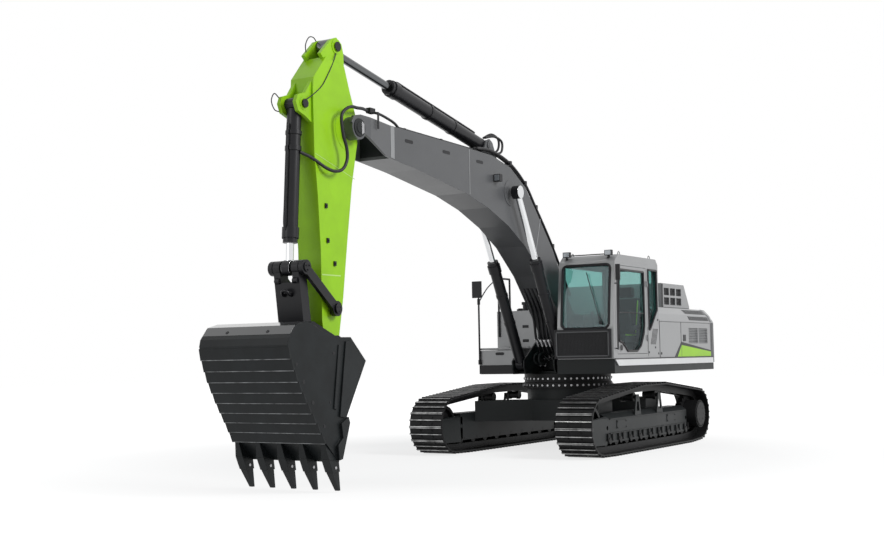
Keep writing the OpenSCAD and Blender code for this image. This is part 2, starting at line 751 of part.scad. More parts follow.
// Front
boom_line = concat(
    [for (p = [[6350, 2520], [5600, 2240], [4780, 2150], [3480, 1960], [2830, 1805], [2200, 1580], [1660, 1300],
        [1090, 870], [360, 90], [215, -75], [100, -165], [-40, -185], [-150, -120], [-185, 10], [-150, 120],
        [680, 1300], [1250, 1890], [1610, 2240], [2100, 2500], [2680, 2615], [3770, 2640], [5500, 2665],
        [6250, 2680], [6390, 2650], [6450, 2560]]) foot + p]);
boom_core = concat(
    [for (p = [[6700, 2300], [5450, 2266], [4780, 2185], [3470, 1997], [2818, 1842], [2184, 1616], [1640, 1332],
        [1060, 895], [560, 360], [380, 420], [710, 1260], [1274, 1850], [1626, 2198], [2108, 2460], [2684, 2575],
        [3770, 2600], [5450, 2627], [5500, 2800], [6700, 2800]]) foot + p]);

cheek_x = foot_x + 5450;
cheek_y = boom_w + 76;

module boom() {
    color("dimgray") {
        difference() {
            union() {
                difference() {
                    side(boom_line, -boom_w, boom_w);
                    side(boom_core, -boom_w + plate_t, boom_w - plate_t);
                    block([cheek_x + 10, -boom_w - 10, 0], [tip[0] + 400, boom_w + 10, foot_z + 4000]);
                }
                // cheeks that spread towards the tip
                pair() intersection() {
                    side(boom_line, 0, boom_w + 200);
                    plan([
                        [cheek_x - 60, boom_w - plate_t], [cheek_x, boom_w - plate_t], [tip[0] - 260, cheek_y - 40],
                        [tip[0] + 300, cheek_y - 40], [tip[0] + 300, cheek_y], [tip[0] - 260, cheek_y],
                        [cheek_x, boom_w], [cheek_x - 60, boom_w]
                    ], 0, foot_z + 4000);
                }
                // bosses of the tip pin and of the boom cylinders' pin
                pair() ybar(tip, 150, arm_w + pivot_gap, cheek_y);
                ybar(boom_cyl_head, 120, -boom_w - 12, boom_w + 12);
            }
            ybar(foot, 60 + run_gap, -600, 600);
        }
        pair() ybar(tip, 65, boom_w, cheek_y + 8);
        ybar(tip, 60, -boom_w - 10, boom_w + 10);
        // bracket of the arm cylinder
        pair() side([
            arm_cyl_foot + [-230, -200], arm_cyl_foot + [260, -200], arm_cyl_foot + [90, 60],
            arm_cyl_foot + [0, 100], arm_cyl_foot + [-90, 50]
        ], 111, 141);
        ybar(arm_cyl_foot, 44, -160, 160);
    }
}

module boom_pipes() {
    color("black") {
        for (y = [-190, -130, 130, 190])
            rod([foot_x + 3000, y, foot_z + 2650], [foot_x + 5200, y, foot_z + 2685], 16);
        for (x = [3100, 4050, 5000], s = [-1, 1]) difference() {
            block([foot_x + x, s * 160 - 60, foot_z + 2600], [foot_x + x + 50, s * 160 + 60, foot_z + 2665 + (x - 3000) / 70]);
            side(boom_line, -300, 300);
        }
    }
}

module boom_light() {
    color("black") {
        block([foot_x + 2500, boom_w, foot_z + 2240], [foot_x + 2560, boom_w + 60, foot_z + 2270]);
        block([foot_x + 2560, boom_w + 10, foot_z + 2220], [foot_x + 2650, boom_w + 110, foot_z + 2330]);
    }
}

// Cylinder barrel along +x: eye at the origin, bore open at its end
module barrel(long, r, bore, pin, half) {
    difference() {
        union() {
            rotate([90, 0, 0]) cylinder(r = pin + 45, h = 2 * half, center = true);
            translate([pin + 20, 0, 0]) rotate([0, 90, 0]) cylinder(r = r, h = long - pin - 20);
            translate([long - 190, 0, 0]) rotate([0, 90, 0]) cylinder(r = r + 14, h = 130);
        }
        rotate([90, 0, 0]) cylinder(r = pin + run_gap, h = 2 * half + 200, center = true);
        translate([pin + 75, 0, 0]) rotate([0, 90, 0]) cylinder(r = bore + run_gap, h = long);
    }
}

// Piston rod along +x: from start to its eye at long
module piston(start, long, r, pin, half) {
    translate([start, 0, 0]) rotate([0, 90, 0]) cylinder(r = r, h = long - start - pin);
    translate([long, 0, 0]) rotate([90, 0, 0]) cylinder(r = pin + 50, h = 2 * half, center = true);
}

boom_cyl_len = norm(boom_cyl_head - boom_cyl_foot);
arm_cyl_len = norm(arm_cyl_head - arm_cyl_foot);
kit_cyl_len = norm(link_top - kit_cyl_foot);

module boom_barrel() {
    color("black") translate([0, boom_cyl_y, 0]) along(boom_cyl_foot, boom_cyl_head) barrel(1886, 90, 50, 44, 60);
}

module boom_rod() {
    color("silver") translate([0, boom_cyl_y, 0]) along(boom_cyl_foot, boom_cyl_head) piston(1020, boom_cyl_len, 50, 50, 62);
}

module arm_cylinder_barrel() {
    color("black") along(arm_cyl_foot, arm_cyl_head) barrel(2620, 105, 55, 44, 100);
}

module arm_cylinder_rod() {
    color("silver") along(arm_cyl_foot, arm_cyl_head) piston(1460, arm_cyl_len, 55, 62, 80);
}

module bucket_cylinder_barrel() {
    color("black") along(kit_cyl_foot, link_top) barrel(1715, 90, 48, 42, 88);
}

module bucket_cylinder_rod() {
    color("silver") along(kit_cyl_foot, link_top) piston(310, kit_cyl_len, 48, 45, 60);
}

arm_line = [for (p = [[480, 845], [740, 545], [755, 375], [737, -415], [680, -885], [628, -1585], [615, -2465],
    [560, -2760], [500, -2870], [420, -2890], [340, -2860], [290, -2770], [170, -2162], [70, -1467], [-50, -707],
    [-180, -157], [-160, 163], [-20, 495], [90, 785]]) tip + p];
arm_core = [for (p = [[455, 900], [455, 805], [700, 525], [713, 370], [696, -405], [640, -885], [590, -1575], [575, -2200],
    [225, -2150], [112, -1467], [-8, -717], [-120, -260], [-60, -190], [230, -180], [230, 190], [-60, 250], [22, 480],
    [118, 745], [118, 900]]) tip + p];

module arm() {
    color("yellowgreen") difference() {
        union() {
            difference() {
                side(arm_line, -arm_w, arm_w);
                side(arm_core, -arm_w + plate_t, arm_w - plate_t);
            }
            // ears of the arm cylinder and of the bucket cylinder
            pair() {
                side([
                    tip + [60, 760], tip + [490, 820], tip + [560, 880], tip + [330, 1100], tip + [220, 1145],
                    tip + [110, 1080], tip + [70, 960]
                ], 100, 150);
                side([
                    tip + [700, 560], tip + [870, 330], tip + [1020, 280], tip + [1060, 188], tip + [1010, 80],
                    tip + [880, 40], tip + [740, -30]
                ], 96, 146);
            }
            ybar(kit_cyl_foot, 42, -168, 168);
            pair() ybar(arm_cyl_head, 50, 92, 170);
        }
        ybar(tip, 60 + run_gap, -600, 600);
        ybar(kit_pin, 50 + run_gap, -600, 600);
        ybar(link_arm, 44 + run_gap, -600, 600);
        block([tip[0] - 100, -92, tip[1] + 755], [tip[0] + 470, 92, tip[1] + 1300]);
    }
}

module arm_links() {
    color("black") {
        pair() along(link_arm, link_top) {
            long = norm(link_top - link_arm);
            translate([0, 232, 0]) {
                rotate([90, 0, 0]) cylinder(r = 95, h = 62, center = true);
                translate([long, 0, 0]) rotate([90, 0, 0]) cylinder(r = 90, h = 62, center = true);
                translate([0, -26, -60]) cube([long, 52, 120]);
            }
        }
        ybar(link_arm, 44, -275, 275);
    }
}

module bucket_link() {
    long = norm(link_top - link_low);
    color("black") along(link_low, link_top) difference() {
        union() {
            rotate([90, 0, 0]) cylinder(r = 80, h = 2 * 190, center = true);
            for (s = [-1, 1]) translate([0, s * 140, 0]) {
                translate([0, -50, -75]) cube([long, 100, 150]);
                translate([long, 0, 0]) rotate([90, 0, 0]) cylinder(r = 90, h = 100, center = true);
            }
            translate([60, -100, -70]) cube([long * 0.45, 200, 140]);
        }
        rotate([90, 0, 0]) cylinder(r = 45 + run_gap, h = 600, center = true);
    }
}

bucket_line = [for (p = [[1140, 258], [1340, 209], [1470, 70], [1490, -10], [1450, -130], [1330, -400], [1157, -685],
    [962, -962], [853, -1130], [604, -1379], [477, -906], [72, -203], [360, 81], [622, 79], [852, 133]]) kit_pin + p];
bucket_core = [for (p = [[1130, 228], [1322, 180], [1444, 58], [1463, -10], [1425, -120], [1306, -388], [1134, -670],
    [940, -945], [833, -1112], [590, -1355], [300, -1400], [-100, -300], [250, -140], [420, 20], [622, 46], [852, 100]]) kit_pin + p];

module bucket() {
    color("dimgray") {
        difference() {
            bucket_form(bucket_line, 0);
            bucket_form(bucket_core, shell_t);
        }
        pair() {
            ybar(kit_pin, 115, 195, 262);
            ybar(link_low, 110, 195, 262);
            side([
                kit_pin + [-60, -100], kit_pin + [180, -240], kit_pin + [330, -80], kit_pin + [420, 25],
                kit_pin + [622, 60], kit_pin + [760, 95], kit_pin + [570, 262], kit_pin + [440, 262], kit_pin + [30, 105]
            ], 200, 262);
        }
        ybar(kit_pin, 50, -290, 290);
        ybar(link_low, 45, -275, 275);
        // stepped wear plates across the back
        for (i = [0 : wear_count - 1]) {
            a = on_back(wear_start + i * wear_pitch);
            b = on_back(wear_start + (i + 0.97) * wear_pitch);
            out = [a[1] - b[1], b[0] - a[0]] / norm(b - a);
            half = bucket_half((a[0] + b[0]) / 2) + 9;
            side([a - 6 * out, b - 6 * out, b + 24 * out, a + 5 * out], -half, half);
        }
        // side cutters
        pair() side([
            kit_pin + [640, -1355], kit_pin + [575, -1345], kit_pin + [420, -930], kit_pin + [450, -860],
            kit_pin + [590, -930], kit_pin + [560, -1100], kit_pin + [660, -1180]
        ], bucket_half(kit_pin[0] + 560) - 10, bucket_half(kit_pin[0] + 560) + 34);
    }
}

// Half the bucket's width at x: it narrows towards its back
function bucket_half(x) = bucket_w + 35 - (x - kit_pin[0]) * 0.055;

module bucket_form(line, inset) {
    x0 = kit_pin[0] - 200;
    x1 = kit_pin[0] + 1700;
    intersection() {
        side(line, -bucket_w - 200, bucket_w + 200);
        plan([
            [x0, -bucket_half(x0) + inset], [x1, -bucket_half(x1) + inset],
            [x1, bucket_half(x1) - inset], [x0, bucket_half(x0) - inset]
        ], 0, foot_z + 3000);
    }
}

// Line down the bucket's back
bucket_back = [for (i = [3 : 8]) bucket_line[i]];
wear_count = 9;
wear_start = 25;
wear_pitch = 143;
function back_len(i) = norm(bucket_back[i + 1] - bucket_back[i]);
function on_back(s, i = 0) =
    s <= back_len(i) || i == len(bucket_back) - 2 ?
        bucket_back[i] + (bucket_back[i + 1] - bucket_back[i]) * s / back_len(i) :
    on_back(s - back_len(i), i + 1);

module bucket_teeth() {
    color("gray") for (i = [-2 : 2]) translate([0, i * (bucket_w - tooth_w / 2) / 2, 0]) {
        side([
            kit_pin + [800, -1335], kit_pin + [604, -1379], kit_pin + [585, -1490], kit_pin + [725, -1490]
        ], -tooth_w / 2, tooth_w / 2);
        hull() {
            translate([kit_pin[0] + 592, -tooth_w * 0.4, kit_pin[1] - 1500]) cube([125, tooth_w * 0.8, 20]);
            translate([kit_pin[0] + 545, -tooth_w * 0.24, kit_pin[1] - 1714]) cube([34, tooth_w * 0.48, 12]);
        }
    }
}

translate([-datum_x, 0, 0]) {
    carbody();
    swing_ring();
    track_frame();  // track_frame_left
    mirror([0, 1, 0]) track_frame();  // track_frame_right
    track();  // track_left
    mirror([0, 1, 0]) track();  // track_right
    bottom_rollers();
    carrier_rollers();
    idlers();
    sprockets();
    upper_frame();
    swing_race();
    counterweight();
    engine();
    hood_shell();
    fuel_tank();
    hydraulic_tank();
    tool_box();
    side_steps();
    stack();
    handrails();
    mirror_right();
    cab_frame();
    cab_roof();
    cab_glass();
    seat();
    console();
    front_guard();
    roof_lights();
    mirror_left();
    cab_door();
    door_glass();
    engine_hood();
    left_front_door();
    left_rear_door();
    right_rear_door();
    tool_box_lid();
    boom();
    boom_pipes();
    boom_light();
    boom_barrel();  // boom_cylinder_barrel_left
    mirror([0, 1, 0]) boom_barrel();  // boom_cylinder_barrel_right
    boom_rod();  // boom_cylinder_rod_left
    mirror([0, 1, 0]) boom_rod();  // boom_cylinder_rod_right
    arm_cylinder_barrel();
    arm_cylinder_rod();
    arm();
    bucket_cylinder_barrel();
    bucket_cylinder_rod();
    arm_links();
    bucket_link();
    bucket();
    bucket_teeth();
}
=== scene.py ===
import json
import math

import bpy
from mathutils import Matrix, Vector


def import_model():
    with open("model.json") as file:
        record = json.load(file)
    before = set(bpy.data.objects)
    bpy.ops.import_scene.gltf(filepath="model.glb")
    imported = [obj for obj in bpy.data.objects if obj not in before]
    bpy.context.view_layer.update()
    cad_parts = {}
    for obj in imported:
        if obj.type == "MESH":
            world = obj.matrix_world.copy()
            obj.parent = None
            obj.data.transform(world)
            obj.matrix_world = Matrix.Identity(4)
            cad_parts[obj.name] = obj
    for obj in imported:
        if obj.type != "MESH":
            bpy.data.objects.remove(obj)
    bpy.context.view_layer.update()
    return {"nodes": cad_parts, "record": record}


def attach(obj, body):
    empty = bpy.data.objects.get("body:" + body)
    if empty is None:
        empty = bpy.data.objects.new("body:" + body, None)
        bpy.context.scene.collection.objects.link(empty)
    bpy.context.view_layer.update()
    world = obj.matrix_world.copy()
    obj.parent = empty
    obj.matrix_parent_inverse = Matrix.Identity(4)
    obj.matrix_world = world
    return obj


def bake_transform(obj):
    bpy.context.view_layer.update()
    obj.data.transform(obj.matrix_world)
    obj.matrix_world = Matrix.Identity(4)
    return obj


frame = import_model()

# Metres from the swing axis at ground level; the row's origin lies DX ahead of that axis.
DX = 2.51
# Upper body: half width, deck's top, cab's inner side, roof, radius of the tail
BODY_Y = 1.49
DECK_TOP = 1.487
CAB_Y0 = BODY_Y - 0.967
CAB_TOP = 3.134
TAIL_R = 3.5
# Left doors: lower edge, rear end, front and rear side of the gap between them
DOOR_LOW = 1.496
DOOR_REAR = -2.99
GAP_FRONT = -1.492
GAP_REAR = -1.508
# Louvres of the rear doors, and thickness of trim that lies on a face
LOUVRE_ZS = [1.735 + j * 0.03 for j in range(9)]
LOUVRE_H = 0.012
TRIM = 0.003
# Tracks: middle plane, half a bar's width, height of the bars, length of a shoe
TRACK_Y = 1.295
BAR_HALF = 0.296
BAR_H = 0.026
SHOE_PITCH = 0.216
# Outer faces of the track frame and of its covers, wheels, and the row of bottom rollers
FRAME_Y = 1.47
COVER_Y = 1.478
IDLER = (2.095, 0.466)
SPROCKET = (-2.08, 0.481)
ROLLER_X = 1.62
ROLLER_Z = 0.229
# Half widths of boom, boom tip and arm, and middle plane of a boom cylinder
BOOM_Y = 0.260
TIP_Y = 0.336
ARM_Y = 0.175
BOOM_CYL_Y = 0.384

# Pins in the side view (x, z)
TIP = Vector((6.58, 4.487))
BOOM_CYL = (Vector((0.96, 1.42)), Vector((2.42, 4.08)))
ARM_CYL = (Vector((2.83, 4.78)), Vector((6.80, 5.512)))
BUCKET_CYL = (Vector((7.479, 4.675)), Vector((7.61, 2.66)))
LINK_ARM = Vector((6.988, 2.176))
BUCKET_PIN = Vector((7.0, 1.73))
LINK_LOW = Vector((7.5, 1.90))
# Line of the bucket's back, from its pin
BUCKET_BACK = ((1.490, -0.010), (1.450, -0.130), (1.330, -0.400), (1.157, -0.685), (0.962, -0.962),
               (0.853, -1.130))
FOOT_HOSE_YS = (-0.20, -0.12, -0.04, 0.04, 0.12, 0.20)


def put(name, data):
    """New object in the scene."""
    o = bpy.data.objects.new(name, data)
    bpy.context.scene.collection.objects.link(o)
    return o


def angles(n):
    """n even turns round a circle."""
    return [2 * math.pi * i / n for i in range(n)]


# Materials

def new_material(name):
    """Material, its empty node tree and its output node."""
    m = bpy.data.materials.new(name)
    m.use_nodes = True
    m.node_tree.nodes.clear()
    return m, m.node_tree, m.node_tree.nodes.new("ShaderNodeOutputMaterial")


def node(tree, kind, **inputs):
    """New shader node with values for its inputs."""
    n = tree.nodes.new(kind)
    for key, value in inputs.items():
        n.inputs[key.replace("_", " ")].default_value = value
    return n


def paint(name, rgb, rough=0.4, metal=0.0, coat=0.0, mottle=0.06, scale=3.0, edge=0.006, shine=0.5):
    """Painted or bare surface with slight mottling and softened edges."""
    m, t, out = new_material(name)
    b = node(t, "ShaderNodeBsdfPrincipled", Metallic=metal, Specular_IOR_Level=shine, Coat_Weight=coat,
             Coat_Roughness=0.12)
    t.links.new(b.outputs[0], out.inputs[0])
    pos = t.nodes.new("ShaderNodeTexCoord")
    noise = node(t, "ShaderNodeTexNoise", Scale=scale, Detail=5.0, Roughness=0.6)
    t.links.new(pos.outputs["Object"], noise.inputs["Vector"])
    ramp = t.nodes.new("ShaderNodeValToRGB")
    low, high = ramp.color_ramp.elements
    low.position, low.color = 0.35, [max(c * (1 - mottle), 0) for c in rgb] + [1]
    high.position, high.color = 0.65, [min(c * (1 + mottle), 1) for c in rgb] + [1]
    t.links.new(noise.outputs["Fac"], ramp.inputs["Fac"])
    t.links.new(ramp.outputs["Color"], b.inputs["Base Color"])
    spread = node(t, "ShaderNodeMapRange", To_Min=max(rough - 0.06, 0.02), To_Max=min(rough + 0.06, 1.0))
    t.links.new(noise.outputs["Fac"], spread.inputs["Value"])
    t.links.new(spread.outputs["Result"], b.inputs["Roughness"])
    if edge:
        bevel = node(t, "ShaderNodeBevel", Radius=edge)
        bevel.samples = 4
        t.links.new(bevel.outputs["Normal"], b.inputs["Normal"])
    return m


def clear_glass(name, tint, share):
    """Tinted see-through pane; share is how much of it reflects."""
    m, t, out = new_material(name)
    see = node(t, "ShaderNodeBsdfTransparent", Color=tint + (1,))
    gloss = node(t, "ShaderNodeBsdfGlossy", Roughness=0.03, Color=(0.9, 0.95, 1, 1))
    mix = node(t, "ShaderNodeMixShader", Fac=share)
    t.links.new(see.outputs[0], mix.inputs[1])
    t.links.new(gloss.outputs[0], mix.inputs[2])
    t.links.new(mix.outputs[0], out.inputs[0])
    return m


LIME = paint("lime", (0.285, 0.565, 0.008), 0.36, coat=0.05, shine=0.28)
# Lighter copy of the lime: painted highlight along the arm's weld seams.
LIME_PAINTED_HIGHLIGHT = paint("lime_painted_highlight", (0.50, 0.74, 0.22), 0.4)
CHARCOAL = paint("charcoal", (0.075, 0.077, 0.081), 0.4, coat=0.12, shine=0.4)
GREY_BAND = paint("grey_band", (0.25, 0.255, 0.26), 0.4)
SILVER = paint("silver", (0.285, 0.288, 0.292), 0.34, metal=0.3, coat=0.2, mottle=0.03)
# Lighter copy of the silver: painted highlight on the side steps.
SILVER_PAINTED_HIGHLIGHT = paint("silver_painted_highlight", (0.62, 0.625, 0.63), 0.3, metal=0.3, coat=0.25, mottle=0.03)
FRAME = paint("frame", (0.012, 0.014, 0.0145), 0.42, shine=0.2)
BUCKET = paint("bucket", (0.010, 0.012, 0.013), 0.40, mottle=0.3, shine=0.2)
BUCKET_GLOSS = paint("bucket_gloss", (0.02, 0.022, 0.024), 0.14, coat=0.9, mottle=0.1)
BLACK = paint("black", (0.009, 0.009, 0.011), 0.36, shine=0.28)
TRACK = paint("track", (0.012, 0.012, 0.0125), 0.45, metal=0.1, mottle=0.25, shine=0.17)
CHROME = paint("chrome", (0.75, 0.76, 0.77), 0.12, metal=1.0, mottle=0.02)
# Darker copy of the chrome: painted shade on the arm cylinder's rod.
CHROME_PAINTED_SHADE = paint("chrome_painted_shade", (0.13, 0.135, 0.14), 0.2, metal=1.0, mottle=0.02)
GLASS = clear_glass("glass", (0.57, 0.745, 0.725), 0.025)
DOOR_GLASS = clear_glass("door_glass", (0.80, 0.88, 0.87), 0.04)
FABRIC = paint("fabric", (0.03, 0.03, 0.033), 0.9, mottle=0.2, scale=60)
PLASTIC = paint("plastic", (0.014, 0.014, 0.016), 0.45, shine=0.3)
IRON = paint("iron", (0.08, 0.08, 0.08), 0.6)
LAMP = paint("lamp", (0.30, 0.32, 0.34), 0.12, metal=0.4)
STEEL = paint("steel", (0.42, 0.42, 0.43), 0.28, metal=0.9)
WORN = paint("worn", (0.40, 0.40, 0.40), 0.3, metal=0.85, mottle=0.55, scale=7.0, edge=0)
# Lighter metal for the lower edges of the bucket's plates: wear, and painted highlight.
PLATE_EDGE = paint("plate_edge", (0.15, 0.155, 0.16), 0.3, metal=0.7, mottle=0.6, scale=7.0, edge=0)

LOOK = {
    "lime_paint": LIME, "charcoal_paint": CHARCOAL, "silver_paint": SILVER, "frame_paint": FRAME,
    "bucket_paint": BUCKET, "black_paint": BLACK, "track_steel": TRACK, "rod_chrome": CHROME,
    "clear_glass": GLASS, "seat_fabric": FABRIC, "dark_plastic": PLASTIC, "engine_iron": IRON,
}
OWN_LOOK = {
    "door_glass": DOOR_GLASS, "tool_box": SILVER, "tool_box_lid": SILVER, "side_steps": SILVER_PAINTED_HIGHLIGHT,
    "arm_cylinder_rod": CHROME_PAINTED_SHADE,
}
SLOTS = {s["node"]: s["material_slot"] for s in frame["record"]["subparts"]}
for name, obj in frame["nodes"].items():
    obj.data.materials.clear()
    obj.data.materials.append(OWN_LOOK.get(name, LOOK[SLOTS[name]]))


# Building pieces

class Kit:
    """Collects simple solids into one piece."""

    def __init__(self):
        self.verts, self.faces = [], []

    def add(self, verts, faces):
        """Takes points from the swing axis into the row's frame."""
        n = len(self.verts)
        self.verts += [Vector((v[0] - DX, v[1], v[2])) for v in verts]
        self.faces += [[i + n for i in f] for f in faces]

    def box(self, lo, hi):
        x0, y0, z0 = lo
        x1, y1, z1 = hi
        self.prism([(x0, z0), (x1, z0), (x1, z1), (x0, z1)], y0, y1)

    def pull(self, start, end):
        """Solid between two equal outlines."""
        n = len(start)
        f = [list(range(n)), list(range(2 * n - 1, n - 1, -1))]
        f += [[i, n + i, n + (i + 1) % n, (i + 1) % n] for i in range(n)]
        self.add(start + end, f)

    def prism(self, pts, y0, y1):
        """Side view outline (x, z) pulled from y0 to y1."""
        self.pull([(x, y0, z) for x, z in pts], [(x, y1, z) for x, z in pts])

    def cross(self, pts, x0, x1):
        """End view outline (y, z) pulled from x0 to x1."""
        self.pull([(x0, y, z) for y, z in pts], [(x1, y, z) for y, z in pts])

    def cyl(self, a, b, r, seg=24):
        """Round bar from a to b."""
        a, b = Vector(a), Vector(b)
        d = (b - a).normalized()
        u = d.orthogonal().normalized()
        w = d.cross(u)
        v = [p + r * (math.cos(t) * u + math.sin(t) * w) for p in (a, b) for t in angles(seg)]
        f = [list(range(seg - 1, -1, -1)), list(range(seg, 2 * seg))]
        f += [[i, (i + 1) % seg, seg + (i + 1) % seg, seg + i] for i in range(seg)]
        self.add(v, f)

    def ybar(self, p, r, y0, y1, seg=32):
        """Round bar across the machine at p in the side view."""
        self.cyl((p[0], y0, p[1]), (p[0], y1, p[1]), r, seg)

    def hexes(self, spots, axis, r, h):
        """Bolt heads that stand up along an axis."""
        for p in spots:
            self.cyl(p, Vector(p) + Vector(axis) * h, r, 6)

    def hose(self, pts, r, seg=10, steps=8):
        """Round hose along a smooth line through pts."""
        line = smooth_line([Vector(p) for p in pts], steps)
        v, f = [], []
        u = None
        for i, p in enumerate(line):
            d = (line[min(i + 1, len(line) - 1)] - line[max(i - 1, 0)]).normalized()
            u = d.orthogonal() if u is None else u - d * u.dot(d)
            u.normalize()
            w = d.cross(u)
            v += [p + r * (math.cos(t) * u + math.sin(t) * w) for t in angles(seg)]
        for i in range(len(line) - 1):
            for k in range(seg):
                a, b = i * seg + k, i * seg + (k + 1) % seg
                f.append([a, b, b + seg, a + seg])
        f += [list(range(seg - 1, -1, -1)), list(range(len(v) - seg, len(v)))]
        self.add(v, f)

    def make(self, name, mat, bevel=0.0):
        """The collected solids as one object."""
        me = bpy.data.meshes.new(name)
        me.from_pydata(self.verts, [], self.faces)
        me.validate()
        me.materials.append(mat)
        for p in me.polygons:
            p.use_smooth = True
        me.set_sharp_from_angle(angle=math.radians(40))
        o = put(name, me)
        if bevel:
            mod = o.modifiers.new("edge", "BEVEL")
            mod.width, mod.segments, mod.limit_method = bevel, 2, "ANGLE"
            mod.harden_normals = True
        return o

    def done(self, name, mat, body, bevel=0.0):
        """The collected solids as one object that rides on a body."""
        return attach(self.make(name, mat, bevel), body)


def smooth_line(pts, steps):
    """Points of a smooth curve through pts."""
    out = []
    for i in range(len(pts) - 1):
        a, b = pts[max(i - 1, 0)], pts[i]
        c, d = pts[i + 1], pts[min(i + 2, len(pts) - 1)]
        for k in range(steps):
            t = k / steps
            out.append(0.5 * (2 * b + (c - a) * t + (2 * a - 5 * b + 4 * c - d) * t * t
                              + (3 * b - a - 3 * c + d) * t ** 3))
    return out + [pts[-1]]


def arc(c, r, a0, a1, n):
    """Points on a circle from a0 to a1 degrees."""
    turns = [math.radians(a0 + (a1 - a0) * i / n) for i in range(n + 1)]
    return [(c[0] + r * math.cos(t), c[1] + r * math.sin(t)) for t in turns]


def along(a, b):
    """Places points given along and across a line from a to b in the side view."""
    d = (b - a).normalized()
    n = Vector((-d.y, d.x))

    def at(s, y, h):
        p = a + d * s + n * h
        return (p.x, y, p.y)
    return at


def span(s, a, b):
    """From a to b on the side s, in rising order."""
    return sorted((s * a, s * b))


# Tracks

def belt_turns():
    """Circles that the shoes run round: x, z, radius."""
    rail, wheel, carrier, roller = 0.118, 0.429, 0.075, 0.085
    return [(*IDLER, wheel), (0.465, 0.860, carrier + rail), (-0.465, 0.868, carrier + rail),
            (*SPROCKET, wheel), (-ROLLER_X, ROLLER_Z, roller + rail), (ROLLER_X, ROLLER_Z, roller + rail)]


def belt():
    """Returns the loop's length and a function from distance to point and outward direction."""
    turns = belt_turns()
    n = len(turns)
    leave = []
    for i in range(n):
        a, b = turns[i], turns[(i + 1) % n]
        d = math.hypot(b[0] - a[0], b[1] - a[1])
        leave.append(math.atan2(b[1] - a[1], b[0] - a[0]) - math.acos((a[2] - b[2]) / d))
    parts = []
    for i in range(n):
        a, b = turns[i], turns[(i + 1) % n]
        sweep = (leave[i] - leave[i - 1]) % (2 * math.pi)
        d = math.hypot(b[0] - a[0], b[1] - a[1])
        parts.append((a, leave[i - 1], sweep * a[2], leave[i], math.sqrt(d * d - (a[2] - b[2]) ** 2)))
    total = sum(p[2] + p[4] for p in parts)

    def at(s):
        s %= total
        for a, start, bend, angle, run in parts:
            if s <= bend:
                t = start + s / a[2]
                return (a[0] + a[2] * math.cos(t), a[1] + a[2] * math.sin(t)), (math.cos(t), math.sin(t))
            s -= bend
            if s <= run:
                o = (math.cos(angle), math.sin(angle))
                return (a[0] + a[2] * o[0] - s * o[1], a[1] + a[2] * o[1] + s * o[0]), o
            s -= run
        return at(0)
    return total, at


def tracks():
    """Bolts and bright wear on the shoes."""
    total, at = belt()
    count = round(total / SHOE_PITCH)
    pitch = total / count
    for side, name in ((1, "left"), (-1, "right")):
        k = Kit()
        for i in range(count):
            for frac in (0.27, 0.73):
                p, o = at((i + frac) * pitch)
                for dy in (-0.105, 0.105):
                    base = Vector((p[0], side * TRACK_Y + dy, p[1]))
                    k.cyl(base, base + Vector((o[0], 0, o[1])) * 0.012, 0.017, 6)
        k.done("shoe_bolts_" + name, TRACK, "undercarriage")
        # bright wear on the tips of the bars
        k = Kit()
        for i in range(count):
            for mid, wide in ((0.010, 0.010), (pitch / 2, 0.012), (pitch - 0.010, 0.010)):
                p, o = at(i * pitch + mid)
                u = (-o[1] * wide / 2, o[0] * wide / 2)
                low, high = BAR_H - 0.002, BAR_H + 0.0006
                q = [(p[0] + e * u[0] + o[0] * h, p[1] + e * u[1] + o[1] * h)
                     for e, h in ((-1, low), (1, low), (1, high), (-1, high))]
                k.prism(q, side * TRACK_Y - BAR_HALF, side * TRACK_Y + BAR_HALF)
        k.done("bar_wear_" + name, WORN, "undercarriage")


def ring_bolts(name, body, r, z):
    """Bolt heads round the swing bearing."""
    k = Kit()
    for t in angles(48):
        d = Vector((math.cos(t), math.sin(t), 0))
        k.cyl(d * r + Vector((0, 0, z)), d * (r + 0.018) + Vector((0, 0, z)), 0.019, 6)
    k.done(name, STEEL, body)


